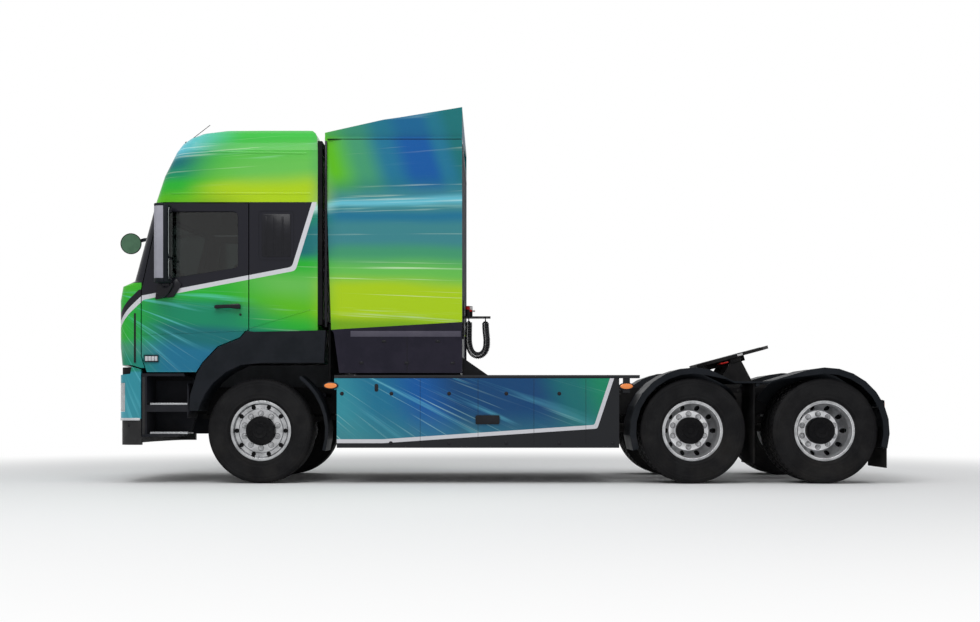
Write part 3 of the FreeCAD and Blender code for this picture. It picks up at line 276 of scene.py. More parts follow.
world = bpy.data.worlds.new("studio")
bpy.context.scene.world = world
world.use_nodes = True
world.node_tree.nodes.clear()
graph = Graph(world.node_tree)
soft, bright = (
    graph.add("Background", Color=WHITE, Strength=power).outputs[0] for power in (WORLD_LIGHT, 1.0)
)
graph.add("OutputWorld", Surface=shown_as(graph, soft, bright, ("Glossy", "Transmission")))

floor_mesh = bmesh.new()
bmesh.ops.create_grid(floor_mesh, x_segments=1, y_segments=1, size=60)
floor_data = bpy.data.meshes.new("studio_floor")
floor_mesh.to_mesh(floor_data)
floor_mesh.free()
studio_floor = linked(bpy.data.objects.new("studio_floor", floor_data))
studio_floor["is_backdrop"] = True
floor = Finish("pale floor", Base_Color=paint(0.84, 0.85, 0.86), Roughness=0.8)
from_truck = floor.add("VectorMath", {"operation": "LENGTH"})
floor.feed(from_truck.inputs[0], floor.place)
far_off = floor.step(from_truck.outputs["Value"], 5.0, 11.0)
white = floor.add("Emission", Color=WHITE, Strength=1.0).outputs[0]
faded = shown_as(floor, floor.shader.outputs[0], white, ("Glossy",), far_off)
floor.feed(floor.tree.nodes["Material Output"].inputs["Surface"], faded)
floor_data.materials.append(floor.item)


def lamp(name, place, aim, size, power):
    """A square soft lamp at place that points at aim."""
    data = bpy.data.lights.new(name, "AREA")
    data.size, data.energy = size, power
    item = linked(bpy.data.objects.new(name, data))
    item.location = place
    item.rotation_euler = (Vector(aim) - Vector(place)).to_track_quat("-Z", "Y").to_euler()


lamp("overhead lamp", (-1, -4, 9), (0, 0, 0.5), 8, 290)
lamp("front lamp", (-3, -10, 10), (-0.3, -0.5, 1.4), 4.5, 330)
bpy.context.scene.view_settings.view_transform = "Standard"
print("studio ready")

# %% [markdown]
# ## Effects that several finishes share
# Light rays, road dust, fine grain and soft edges are each built once as a node group.
# Their inputs set how strong or fine they are in each material.

# %% Start of a node group
def effect(name, outputs, position=True, **numbers):
    """Starts a shader node group: returns its graph, its inputs and its outputs."""
    tree = bpy.data.node_groups.new(name, "ShaderNodeTree")
    add = tree.interface.new_socket
    if position:
        add("Position", in_out="INPUT", socket_type="NodeSocketVector")
    for label, value in numbers.items():
        socket = add(label.replace("_", " "), in_out="INPUT", socket_type="NodeSocketFloat")
        socket.default_value = value
    for label in outputs:
        kind = "NodeSocketColor" if label == "Colour" else "NodeSocketFloat"
        add(label, in_out="OUTPUT", socket_type=kind)
    graph = Graph(tree)
    start, end = (tree.nodes.new(f"NodeGroup{kind}") for kind in ("Input", "Output"))
    return graph, start.outputs, end.inputs


# %% Group: position with the right side folded onto the left
graph, given, made = effect("folded place", ("Along", "Height"))
parts = graph.add("SeparateXYZ", Vector=given["Position"]).outputs
from_side = graph.minus(SIDE, graph.math("MINIMUM", graph.math("ABSOLUTE", parts[1]), SIDE))
behind_axle = graph.minus(parts[0], FRONT_AXLE)
graph.feed(made["Along"], graph.minus(behind_axle, graph.times(from_side, 0.5)))
graph.feed(made["Height"], parts[2])

# %% Group: light rays that fan out from one point
graph, given, made = effect(
    "light rays", ("Mask",), False, Along=0.0, Height=0.0, Centre_Along=0.0, Centre_Height=0.0,
    Fineness=20.0, Thinness=0.5,
)
reach = graph.minus(given["Along"], given["Centre Along"])
rise = graph.minus(given["Height"], given["Centre Height"])
angle = graph.times(graph.math("ARCTAN2", rise, reach), given["Fineness"])
far = graph.math("SQRT", graph.plus(graph.times(reach, reach), graph.times(rise, rise)))
ray_noise = graph.noise(graph.point(angle, graph.times(far, 0.35)), 1.0, 3.0, 0.6)
ray = graph.step(ray_noise, given["Thinness"], graph.plus(given["Thinness"], 0.12))
length_place = graph.point(graph.times(angle, 0.4), graph.times(far, 0.9), 7.0)
fade = graph.step(graph.noise(length_place, 1.0, 1.0), 0.35, 0.6)
graph.feed(made["Mask"], graph.times(ray, fade))

# %% Group: height above a slanted line, seen from the side of the truck
graph, given, made = effect(
    "above line", ("Distance",), False, Along=0.0, Height=0.0, Start_Along=0.0, Start_Height=0.0,
    Slope=0.0,
)
run = graph.minus(given["Along"], given["Start Along"])
line = graph.plus(given["Start Height"], graph.times(run, given["Slope"]))
graph.feed(made["Distance"], graph.minus(given["Height"], line))

# %% Group: road dust, thicker near the ground
graph, given, made = effect("road dust", ("Mask",), Top=1.2, Amount=0.4)
height = graph.add("SeparateXYZ", Vector=given["Position"]).outputs[2]
patches = graph.step(graph.noise(given["Position"], 3.5, 6.0, 0.65), 0.38, 0.72)
specks = graph.step(graph.noise(given["Position"], 90.0, 3.0, 0.7), 0.45, 0.7)
both = graph.plus(graph.times(patches, 0.75), graph.times(specks, 0.25))
low_down = graph.below(height, 0.0, given["Top"])
graph.feed(made["Mask"], graph.times(low_down, both, given["Amount"]))

# %% Group: fine grain of moulded plastic, rubber or cast metal
graph, given, made = effect("surface grain", ("Height",), Fineness=300.0, Waviness=0.3)
fine = graph.noise(given["Position"], given["Fineness"], 3.0, 0.7)
wavy = graph.noise(given["Position"], 2.3, 2.0, 0.5)
graph.feed(made["Height"], graph.plus(fine, graph.times(wavy, given["Waviness"])))

# %% Group: pale scuffs along edges
graph, given, made = effect("edge wear", ("Mask",), Width=0.004, Amount=0.5)
rounded_edge = graph.add("Bevel", {"samples": 4}, Radius=given["Width"])
same = graph.add("VectorMath", {"operation": "DOT_PRODUCT"})
graph.feed(same.inputs[0], rounded_edge.outputs[0])
graph.feed(same.inputs[1], graph.add("NewGeometry").outputs["Normal"])
edge = graph.step(graph.minus(1.0, same.outputs["Value"]), 0.02, 0.2)
chipped = graph.step(graph.noise(given["Position"], 22.0, 5.0, 0.7), 0.4, 0.62)
graph.feed(made["Mask"], graph.times(edge, chipped, given["Amount"]))
print("effects", [tree.name for tree in bpy.data.node_groups])

# %% [markdown]
# ## The flowing paint
# The truck's paint runs from blue and teal to green and lime, in bands that drift like
# light behind a moving thing. Each place along the truck has its own scale of colours by
# height: one for the nose, one for the doors, one for the rear of the cab and one for the
# fairing. Mixed along the length, they make one paint that flows over all panels without
# a picture. Rays of light from a point ahead of the truck lie over it.

# %% Colours of the paint
OLIVE = paint(0.17, 0.38, 0.006)
LIME = paint(0.39, 0.60, 0.006)
GRASS = paint(0.10, 0.48, 0.008)
FERN = paint(0.13, 0.50, 0.080)
GREEN = paint(0.020, 0.42, 0.030)
JADE = paint(0.050, 0.30, 0.15)
SEA_GREEN = paint(0.007, 0.24, 0.12)
TEAL = paint(0.006, 0.15, 0.16)
HAZE = paint(0.040, 0.22, 0.25)
LAKE_BLUE = paint(0.010, 0.16, 0.28)
DEEP_BLUE = paint(0.002, 0.09, 0.33)
NIGHT_BLUE = paint(0.002, 0.055, 0.17)
AQUA = paint(0.030, 0.27, 0.34)
CYAN = paint(0.13, 0.50, 0.62)
MINT = paint(0.50, 0.86, 0.74)
PALE = paint(0.80, 0.95, 0.70)

# Places along the truck are counted from the front axle in what follows.
FAN_ALONG, FAN_HEIGHT, FAN_REACH = -11.0, 2.45, 11.5
PAINT_LOW, PAINT_HIGH = 0.5, 4.5

# %% Group: the flowing paint's places
graph, given, made = effect("flowing paint", ("Colour",))
along, height = graph.group("folded place", Position=given["Position"])
run = graph.minus(along, FAN_ALONG)
tilt = graph.math("DIVIDE", graph.minus(height, FAN_HEIGHT), run)
fanned = graph.plus(FAN_HEIGHT, graph.times(tilt, FAN_REACH))
drift_noise = graph.noise(graph.point(graph.times(along, 0.5), graph.times(fanned, 1.6)), 1.0)
level = graph.plus(fanned, graph.times(graph.minus(drift_noise, 0.5), 0.18))

# %% Scales of colour by height, for four places along the truck
NOSE_BANDS = [
    (1.18, SEA_GREEN), (1.34, JADE), (1.46, GREEN), (1.80, GREEN), (2.20, GRASS), (2.90, GRASS),
    (3.04, GREEN), (3.16, SEA_GREEN), (3.26, TEAL), (3.38, CYAN), (3.60, CYAN),
]
DOOR_BANDS = [
    (1.18, LAKE_BLUE), (1.32, LAKE_BLUE), (1.44, TEAL), (1.54, TEAL), (1.64, SEA_GREEN),
    (1.78, SEA_GREEN), (1.92, GREEN), (2.20, GREEN), (2.88, OLIVE), (3.03, LIME), (3.12, GRASS),
    (3.28, GREEN), (3.40, SEA_GREEN), (3.54, CYAN),
]
REAR_BANDS = [
    (1.50, SEA_GREEN), (1.60, GREEN), (1.80, GRASS), (2.04, FERN), (2.24, GREEN), (2.38, TEAL),
    (2.58, TEAL), (2.70, SEA_GREEN), (2.80, MINT), (2.87, LIME), (3.02, LIME), (3.22, FERN),
    (3.60, GREEN),
]
# In the fairing's scale, the pale cyan around 2.87 m and the darker teal above it are painted light
# and shade of the crease at about 2.95 m; the other stops are the paint's own colours.
FAIRING_BANDS_WITH_CREASE_SHADING = [
    (1.60, OLIVE), (1.74, LIME), (1.98, LIME), (2.16, FERN), (2.34, JADE), (2.48, HAZE),
    (2.62, HAZE), (2.74, LAKE_BLUE), (2.81, HAZE), (2.87, CYAN), (2.94, HAZE), (3.10, TEAL),
    (3.70, TEAL),
]


def height_scale(at, bands):
    """Colours by height from (height, colour) bands, for one place along the truck."""
    wider = FAN_REACH / (at - FAN_ALONG)
    stops = [(FAN_HEIGHT + (band - FAN_HEIGHT) * wider, colour) for band, colour in bands]
    return graph.scale(level, PAINT_LOW, PAINT_HIGH, stops)


leaning = graph.plus(along, graph.times(graph.minus(height, 2.2), 0.30))
ahead_on_roof = graph.minus(along, graph.times(graph.step(height, 2.6, 3.0), 0.60))
whole = height_scale(-1.0, NOSE_BANDS)
for mask, at_place, bands in (
    (graph.step(ahead_on_roof, -1.45, -0.85), -0.4, DOOR_BANDS),
    (graph.step(leaning, -0.55, 0.25), 0.4, REAR_BANDS),
    (graph.step(along, 0.45, 0.85), 1.3, FAIRING_BANDS_WITH_CREASE_SHADING),
):
    whole = graph.mix(mask, whole, height_scale(at_place, bands))

# %% The fairing's top runs from green over jade to deep blue, with teal at its rear edge
TOP_STOPS = [
    (0.6, FERN), (0.76, GRASS), (1.08, JADE), (1.36, LAKE_BLUE), (1.60, DEEP_BLUE),
    (1.76, DEEP_BLUE), (1.92, LAKE_BLUE), (2.1, TEAL),
]
top_place = graph.plus(along, graph.times(graph.minus(height, 3.2), 0.32))
on_top = graph.times(graph.step(along, 0.5, 0.7), graph.step(height, 2.86, 3.20))
whole = graph.mix(on_top, whole, graph.scale(top_place, 0.6, 2.1, TOP_STOPS))
lid = graph.times(graph.step(along, 0.62, 0.70), graph.step(height, 3.50, 3.58), 0.40)
whole = graph.mix(lid, whole, TEAL)

# %% The low panels have one scale along the truck
LOW_STOPS = [
    (-1.6, CYAN), (-1.30, AQUA), (0.80, AQUA), (1.25, LAKE_BLUE), (1.70, DEEP_BLUE),
    (2.10, NIGHT_BLUE), (2.85, NIGHT_BLUE), (3.25, TEAL), (3.60, SEA_GREEN),
]
low_place = graph.plus(along, graph.times(graph.minus(height, 0.8), 0.35))
low_scale = graph.scale(low_place, -1.8, 3.9, LOW_STOPS)
low_scale = graph.mix(graph.times(graph.below(height, 0.40, 0.80), 0.6), low_scale, HAZE)
whole = graph.mix(graph.step(height, 1.13, 1.16), low_scale, whole)

# %% Rays over the paint
not_nose = graph.math("MAXIMUM", graph.step(along, -0.35, 0.30), graph.step(height, 2.5, 2.9))
upper = (not_nose, graph.step(height, 1.40, 1.50))
nose = (graph.below(height, 1.95, 2.25), graph.below(along, -0.45, 0.05))
skirt_fade = graph.minus(1.0, graph.times(graph.step(along, 1.6, 3.4), 0.65))
skirt = (graph.below(height, 1.12, 1.14), graph.step(along, 0.2, 0.7), skirt_fade)
for centre_along, centre_height, fineness, thinness, area, strength, colour in (
    (FAN_ALONG, FAN_HEIGHT, 110.0, 0.60, upper, 0.40, MINT),
    (FAN_ALONG, FAN_HEIGHT, 420.0, 0.60, upper, 0.50, PALE),
    (-1.77, 1.99, 13.0, 0.55, nose, 0.55, CYAN),
    (-1.77, 1.99, 42.0, 0.60, nose, 0.45, MINT),
    (-1.0, 2.2, 30.0, 0.54, skirt, 0.50, CYAN),
    (-1.0, 2.2, 120.0, 0.58, skirt, 0.55, MINT),
):
    rays = graph.group(
        "light rays", Along=along, Height=height, Centre_Along=centre_along,
        Centre_Height=centre_height, Fineness=fineness, Thinness=thinness,
    )[0]
    whole = graph.mix(graph.times(rays, *area, strength), whole, colour, "SCREEN")
graph.feed(made["Colour"], whole)
print("flowing paint", len(graph.tree.nodes), "nodes")

# %% [markdown]
# ## Materials
# A car paint is a coloured metallic layer under clear lacquer. Its coat gives the sharp
# reflection and the layer below gives the colour. Plastics and rubber are rough, with a
# fine grain as a bump. All of them get a little dust near the ground.

# %% Plain finishes
DUST = paint(0.20, 0.18, 0.15)


def plain_finish(name, colour, second, rough, fineness, dust, depth=0.0006, wear=0.0, **settings):
    """A moulded, rubber or cast finish: two close colours, grain, dust and worn edges."""
    finish = Finish(name, **{"Specular_IOR_Level": 0.08, **settings})
    place = finish.place
    mottled = finish.step(finish.noise(place, 5.0, 5.0, 0.6), 0.35, 0.65)
    dusty = finish.dust(dust, 1.3)
    tone = finish.mix(dusty, finish.mix(mottled, paint(*colour), paint(*second)), DUST)
    if wear:
        worn = finish.group("edge wear", Position=place, Amount=wear)[0]
        tone = finish.mix(worn, tone, paint(0.32, 0.32, 0.33))
    rougher = finish.plus(rough, finish.times(mottled, 0.08))
    finish.cover(tone, finish.plus(rougher, finish.times(dusty, 0.3)))
    grain = finish.group("surface grain", Position=place, Fineness=fineness)[0]
    finish.bump(grain, depth, 0.4, 0.003)
    return finish.item


# %% Plastics, rubber and cast metal
dark_plastic = plain_finish(
    "dark moulded plastic", (0.008, 0.010, 0.013), (0.012, 0.014, 0.018), 0.42, 420, 0.06)
gloss_black = plain_finish(
    "gloss black trim", (0.006, 0.006, 0.009), (0.009, 0.009, 0.013), 0.16, 60, 0.03, 0.0001,
    Specular_IOR_Level=0.2)
step_plastic = plain_finish(
    "step plastic", (0.011, 0.012, 0.016), (0.017, 0.018, 0.023), 0.5, 300, 0.12)
bumper_grey = plain_finish(
    "lower bumper grey", (0.028, 0.028, 0.029), (0.040, 0.040, 0.041), 0.45, 350, 0.08)
chassis_black = plain_finish(
    "chassis paint", (0.006, 0.006, 0.007), (0.011, 0.011, 0.012), 0.38, 40, 0.15, wear=0.15)
cast_black = plain_finish(
    "painted casting", (0.012, 0.012, 0.013), (0.022, 0.021, 0.021), 0.5, 120, 0.2, 0.0015, 0.2)
soft_rubber = plain_finish(
    "soft rubber", (0.005, 0.005, 0.006), (0.010, 0.010, 0.011), 0.62, 260, 0.1)
tyre_rubber = plain_finish(
    "tyre rubber", (0.007, 0.007, 0.008), (0.013, 0.013, 0.014), 0.58, 180, 0.06, 0.0008)
inner_plastic = plain_finish(
    "dashboard plastic", (0.030, 0.031, 0.034), (0.045, 0.046, 0.050), 0.55, 500, 0.0)
pack_paint = plain_finish(
    "battery case paint", (0.055, 0.060, 0.066), (0.075, 0.080, 0.088), 0.45, 150, 0.25, wear=0.2)
mirror_grey = plain_finish(
    "light grey shell", (0.30, 0.30, 0.35), (0.34, 0.34, 0.39), 0.38, 350, 0.1)
base_dark = plain_finish(
    "fairing base plastic", (0.014, 0.013, 0.022), (0.019, 0.017, 0.028), 0.42, 380, 0.05)
# The paler finish on the base's top edge is a painted highlight of light on its bevel.
base_painted_highlight = plain_finish(
    "fairing base top edge painted highlight", (0.075, 0.070, 0.095), (0.090, 0.085, 0.11), 0.42, 380, 0.08)
blank_white = plain_finish(
    "blank plate white", (0.62, 0.62, 0.62), (0.68, 0.68, 0.68), 0.4, 200, 0.25)
red_paint = plain_finish(
    "red cap paint", (0.38, 0.010, 0.008), (0.45, 0.014, 0.010), 0.35, 200, 0.15)
yellow_paint = plain_finish(
    "yellow cap paint", (0.62, 0.36, 0.010), (0.68, 0.42, 0.014), 0.35, 200, 0.15)
hose_dark = plain_finish(
    "dark hose", (0.012, 0.012, 0.013), (0.020, 0.020, 0.021), 0.4, 300, 0.1)
hose_grey = plain_finish(
    "grey hose", (0.045, 0.046, 0.050), (0.060, 0.061, 0.066), 0.4, 300, 0.1)
hub_black = plain_finish(
    "hub casting paint", (0.004, 0.004, 0.005), (0.008, 0.008, 0.009), 0.40, 140, 0.02)
worn_steel = plain_finish(
    "worn steel", (0.26, 0.26, 0.27), (0.16, 0.16, 0.165), 0.4, 160, 0.3, 0.0008, Metallic=0.7)
silver_trim = plain_finish(
    "silver trim", (0.50, 0.51, 0.53), (0.60, 0.61, 0.63), 0.28, 260, 0.12, 0.0002, Metallic=0.8)
print("plain finishes")

# %% Body paint
def body_paint(name, dress=None):
    """Flowing paint under lacquer, with a faint flake; dress lays its own areas over it."""
    finish = Finish(name, Coat_Weight=0.22, Coat_Roughness=0.05, Specular_IOR_Level=0.06)
    place = finish.place
    colour = finish.group("flowing paint", Position=place)[0]
    flake = finish.step(finish.noise(place, 900.0, 1.0), 0.45, 0.75)
    colour = finish.mix(finish.times(flake, 0.012), colour, WHITE)
    dusty = finish.dust(0.10, 1.4)
    colour = finish.mix(dusty, colour, DUST)
    if dress:
        along, height = finish.group("folded place", Position=place)

        def above(start_along, start_height, slope):
            return finish.group(
                "above line", Along=along, Height=height, Start_Along=start_along,
                Start_Height=start_height, Slope=slope)[0]

        colour = dress(finish, colour, along, height, above)
    finish.cover(colour, finish.plus(0.30, finish.times(dusty, 0.5)))
    ripple = finish.group("surface grain", Position=place, Fineness=700.0, Waviness=6.0)[0]
    finish.bump(ripple, 0.0004, 0.15, 0.004)
    return finish.item


fairing_paint = body_paint("fairing paint")
bumper_paint = body_paint("bumper paint")

# %% [markdown]
# The cab has a dark band at window height. Its lower edge climbs towards the rear, then
# turns up to the roof, and a silver stripe runs along it. At the nose the band dips and
# leaves a green cap under the windscreen. Slanted lines give these edges as masks.

# %% Cab paint: window band and silver stripe
SILVER = paint(0.62, 0.62, 0.66)
BAND_BLACK = paint(0.012, 0.012, 0.018)
CAB_LINING = paint(0.035, 0.036, 0.040)
STRIPE = 0.046
REAR_SLOPE = 3.21


def cab_bands(finish, colour, along, height, above):
    """The dark band, the stripe under it and the plain lining inside the cab."""
    dip = finish.times(above(-1.1995, 1.921, 0.96), 0.75)
    lowest = finish.math("MAXIMUM", above(-1.1715, 1.926, 0.191), dip)
    from_rear = finish.times(above(0.3325, 2.213, REAR_SLOPE), 1.0 / math.hypot(1.0, REAR_SLOPE))
    corner = finish.math("SMOOTH_MIN", lowest, from_rear, 0.05)
    band = finish.step(corner, -0.001, 0.001)
    stripe = finish.minus(finish.step(corner, -STRIPE - 0.001, -STRIPE + 0.001), band)
    cap = finish.times(
        finish.below(along, -1.2055, -1.1995), finish.step(lowest, 0.064, 0.067),
        finish.below(height, 2.050, 2.054))
    below_roof = finish.below(height, ROOF_EDGE - 0.001, ROOF_EDGE)
    band = finish.times(band, below_roof, finish.minus(1.0, cap))
    x, y, z = finish.add("SeparateXYZ", Vector=finish.place).outputs
    inside = finish.times(
        finish.step(x, NOSE + 0.40, NOSE + 0.401),
        finish.below(finish.math("ABSOLUTE", y), SIDE - 0.030, SIDE - 0.029),
        finish.below(x, CAB_REAR - 0.021, CAB_REAR - 0.020),
        finish.below(z, ROOF_EDGE - 0.001, ROOF_EDGE))
    colour = finish.mix(band, colour, BAND_BLACK)
    colour = finish.mix(finish.times(stripe, below_roof), colour, SILVER)
    return finish.mix(inside, colour, CAB_LINING)


cab_paint = body_paint("cab paint", cab_bands)

# %% Skirt paint: it ends at a silver line that rises slowly to the rear, then turns up
def skirt_lines(finish, colour, along, height, above):
    """The dark part under the silver line, and the dark rail on top."""
    steep = finish.times(above(3.42, 0.605, 3.0), 0.316)
    edge = finish.math("SMOOTH_MIN", above(1.85, 0.495, 0.068), steep, 0.03)
    edge = finish.math("MINIMUM", edge, above(0.80, 0.455, 0.0))
    painted = finish.step(edge, -0.001, 0.001)
    silver_line = finish.minus(finish.step(edge, -0.041, -0.039), painted)
    colour = finish.mix(finish.minus(1.0, painted), colour, paint(0.014, 0.015, 0.018))
    colour = finish.mix(silver_line, colour, SILVER)
    return finish.mix(finish.step(height, 1.076, 1.080), colour, paint(0.02, 0.021, 0.024))


skirt_paint = body_paint("skirt paint", skirt_lines)
print("body paints")

# %% Polished metal of the wheels, with painted reflections
def wheel_metal(name, light, dark, roughness):
    """Turned aluminium with smears and a little dust; the mottle between light and dark is painted
    reflection.
    """
    finish = Finish(name, Metallic=1.0)
    smears_and_reflection_patches = finish.noise(finish.place, 9.0, 4.0, 0.6)
    tone = finish.mix(finish.step(smears_and_reflection_patches, 0.35, 0.7), light, dark)
    rough = finish.plus(roughness, finish.times(smears_and_reflection_patches, 0.22))
    finish.bump(finish.noise(finish.place, 400.0), 0.0001, 0.08, 0.003)
    return finish.cover(finish.mix(finish.dust(0.18, 1.4), tone, DUST), rough)


# The rims' metal is painted dark, with a mottle of painted dark and bright reflections. The driven
# rims' dish gets a much brighter copy of it: painted highlights.
polished = wheel_metal(
    "polished wheel metal with painted reflections", paint(0.48, 0.485, 0.50), paint(0.28, 0.285, 0.295), 0.14)
dish_metal_painted_bright = wheel_metal(
    "dish metal painted bright for highlights", paint(0.88, 0.885, 0.90), paint(0.62, 0.625, 0.64), 0.30)

# %% Glass and mirrors
def darker(colour, share):
    return paint(*(v * share for v in colour[:3]))


def glass(name, tint, roughness, clear):
    """Tinted pane that lets light through without bending it much."""
    finish = Finish(name, Roughness=roughness, IOR=1.45, Transmission_Weight=clear)
    streaks = finish.step(finish.noise(finish.place, 3.0, 3.0), 0.4, 0.7)
    return finish.cover(finish.mix(streaks, tint, darker(tint, 0.85)))


def mirror_finish(name, colour):
    """Silvered glass with a few faint smears."""
    finish = Finish(name, Metallic=1.0)
    smears_and_reflection_patches = finish.step(finish.noise(finish.place, 12.0, 4.0, 0.6), 0.4, 0.75)
    rough = finish.plus(0.03, finish.times(smears_and_reflection_patches, 0.10))
    return finish.cover(finish.mix(smears_and_reflection_patches, colour, darker(colour, 0.8)), rough)


window_glass = glass("tinted window glass", paint(0.085, 0.105, 0.100), 0.02, 1.0)
lamp_glass = glass("clear lamp glass", paint(0.74, 0.78, 0.80), 0.12, 0.55)
mirror_silver = mirror_finish("mirror glass", paint(0.55, 0.60, 0.60))
# The front mirror's glass is dark green: a painted reflection, not the glass's own colour.
mirror_painted_green_reflection = mirror_finish("front mirror glass painted green reflection", paint(0.075, 0.15, 0.095))

# %% Coloured lamp plastic and seat fabric
def waved(finish, direction, first, second, distance, strength, **wave):
    """Two colours and a bump along fine waves: ribs of a lens or a weave."""
    options = {"bands_direction": direction}
    waves = finish.add("TexWave", options, Vector=finish.place, **wave).outputs[1]
    finish.bump(waves, distance, strength)
    return finish.cover(finish.mix(waves, first, second))


def lens(name, colour, glow):
    """Moulded lens with ribs: clear colour over a bright backing."""
    finish = Finish(name, Roughness=0.12, Coat_Weight=0.6)
    return waved(finish, "X", colour, glow, 0.001, 0.4, Scale=60.0)


amber = lens("amber lens", paint(0.85, 0.16, 0.01), paint(1.0, 0.34, 0.05))
red_lens = lens("red lens", paint(0.42, 0.006, 0.006), paint(0.75, 0.02, 0.015))
pale_lens = lens("clear marker lens", paint(0.42, 0.43, 0.46), paint(0.62, 0.63, 0.66))
seat_fabric = waved(
    Finish("seat fabric", Roughness=0.9, Sheen_Weight=0.4), "DIAGONAL",
    paint(0.030, 0.032, 0.036), paint(0.07, 0.072, 0.08), 0.0006, 0.5,
    Scale=160.0, Distortion=1.0)
print("materials", len(bpy.data.materials))

# %% [markdown]
# ## Finishes on the construction model's own pieces
# Most pieces keep their shape, and only get their material here.

# %% Give each piece its finish
FINISHES = {
    cab_paint: "cab_shell cab_roof door_left door_right",
    fairing_paint: "battery_fairing roof_deflector",
    skirt_paint: "side_skirts",
    bumper_paint: "bumper",
    bumper_grey: "bumper_lower",
    window_glass: "windscreen door_glass_left door_glass_right",
    lamp_glass: "headlamps",
    dark_plastic: "wheel_arches front_mirror mirror_left mirror_right front_mudguards rear_fenders",
    base_dark: "fairing_base",
    step_plastic: "cab_steps",
    chassis_black: "frame hose_stand",
    cast_black: "front_axle springs drive_axles drive_motor coupling_base fifth_wheel walkway"
    " knuckle_left knuckle_right",
    soft_rubber: "gap_seal mudflaps air_coils",
    inner_plastic: "dashboard",
    seat_fabric: "seats",
    pack_paint: "battery_packs cooling_unit",
    amber: "lamps",
    polished: "front_rim_left front_rim_right",
    dish_metal_painted_bright: "mid_rim_left mid_rim_right rear_rim_left rear_rim_right",
    tyre_rubber: "front_tyre_left front_tyre_right mid_tyres_left mid_tyres_right"
    " rear_tyres_left rear_tyres_right",
}
finish_of = {name: finish for finish, names in FINISHES.items() for name in names.split()}
for name, finish in finish_of.items():
    nodes[name].data.materials.clear()
    nodes[name].data.materials.append(finish)
print("pieces without a finish:", sorted(set(nodes) - set(finish_of)))

# %% [markdown]
# ## Tools for new pieces
# A bmesh holds a piece while it is being made. The helpers below make the few shapes that
# come again and again: blocks with soft edges, flat outlines that are pulled to a depth,
# round parts spun about an axle, and copies of one small part in many places.

# %% Finish a piece and let it ride on a body
def new_piece(name, mesh, finish, body="chassis", slot=None, replaced=None, sharp=35.0):
    """Turns a bmesh into a named piece of a body; replaced is the node it stands for."""
    bmesh.ops.recalc_face_normals(mesh, faces=mesh.faces[:])
    for face in mesh.faces:
        face.smooth = True
    for edge in mesh.edges:
        edge.smooth = edge.calc_face_angle(math.pi) < math.radians(sharp)
    data = bpy.data.meshes.new(name)
    mesh.to_mesh(data)
    mesh.free()
    data.materials.append(finish)
    item = linked(bpy.data.objects.new(name, data))
    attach(item, body)
    if replaced:
        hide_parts(replaced)
    return item


def twofold(name, mesh, finish, body="chassis", **more):
    """One piece of a body that holds the bmesh and its mirror image on the right."""
    everything = mesh.verts[:] + mesh.edges[:] + mesh.faces[:]
    bmesh.ops.mirror(mesh, geom=everything, matrix=Matrix.Identity(4), merge_dist=0.0, axis="Y")
    return new_piece(name, mesh, finish, body, **more)


def on_each_side(name, finish, body, replaced=None):
    """Makes a left and a mirrored right piece with the function below; body may hold {}."""
    def make(fill):
        for side, flip in (("left", 1), ("right", -1)):
            mesh = bmesh.new()
            fill(mesh)
            bmesh.ops.scale(mesh, vec=(1, flip, 1), verts=mesh.verts[:])
            node = replaced + side if replaced else None
            new_piece(f"{name}_{side}", mesh, finish, body.format(side), replaced=node)
        return fill
    return make


# %% Soft edges, blocks and pulled outlines
def soften(mesh, verts, width):
    """Rounds the edges at some vertices with a small bevel."""
    edges = list({edge for vert in verts for edge in vert.link_edges})
    bmesh.ops.bevel(
        mesh, geom=edges, offset=width, offset_type="OFFSET", segments=2, profile=0.5,
        affect="EDGES", material=-1, clamp_overlap=True)


def block(mesh, low, high, soft=0.003, turn=Matrix.Identity(4)):
    """A block between two corners, with soft edges; turn leans it about its middle."""
    corners = bmesh.ops.create_cube(mesh, size=1.0)["verts"]
    low, high = Vector(low), Vector(high)
    place = Matrix.Translation((low + high) / 2) @ turn
    bmesh.ops.transform(mesh, matrix=place @ Matrix.Diagonal((*(high - low), 1.0)), verts=corners)
    soften(mesh, corners, soft)


def drawn_out(mesh, faces, way):
    """Draws faces out along a vector, and returns the vertices that moved."""
    made = bmesh.ops.extrude_face_region(mesh, geom=faces)["geom"]
    far = [item for item in made if isinstance(item, bmesh.types.BMVert)]
    bmesh.ops.translate(mesh, vec=way, verts=far)
    return far


SPREAD = {
    "X": lambda level, a, b: (level, a, b),
    "Y": lambda level, a, b: (a, level, b),
    "Z": lambda level, a, b: (a, b, level),
}


def pulled(mesh, outline, low, high, soft=0.003, axis="Y"):
    """A flat outline pulled from low to high along an axis, with soft edges."""
    ring = [mesh.verts.new(SPREAD[axis](low, a, b)) for a, b in outline]
    far = drawn_out(mesh, [mesh.faces.new(ring)], SPREAD[axis](high - low, 0, 0))
    soften(mesh, ring + far, soft)


# %% Shapes on the side plane; low and high count from it, below 0 outside the truck
def side_plate(mesh, points, low, high, soft=0.003, shift=0.0):
    """An outline of (place from the front axle, height), pulled across the side plane."""
    pulled(mesh, [(back(shift + x), z) for x, z in points], low - SIDE, high - SIDE, soft)


def side_block(mesh, x_low, z_low, x_high, z_high, low, high, soft=0.003):
    """A block across the side plane."""
    block(mesh, (back(x_low), low - SIDE, z_low), (back(x_high), high - SIDE, z_high), soft)


def side_ring(mesh, points, width, low, high):
    """A band that follows an outline on the side plane, width wide."""
    face = mesh.faces.new([mesh.verts.new((back(x), low - SIDE, z)) for x, z in points])
    band = bmesh.ops.inset_region(
        mesh, faces=[face], thickness=width, use_boundary=True, use_even_offset=True)["faces"]
    bmesh.ops.delete(mesh, geom=[face], context="FACES_ONLY")
    drawn_out(mesh, band, (0, (high - SIDE) - (low - SIDE), 0))


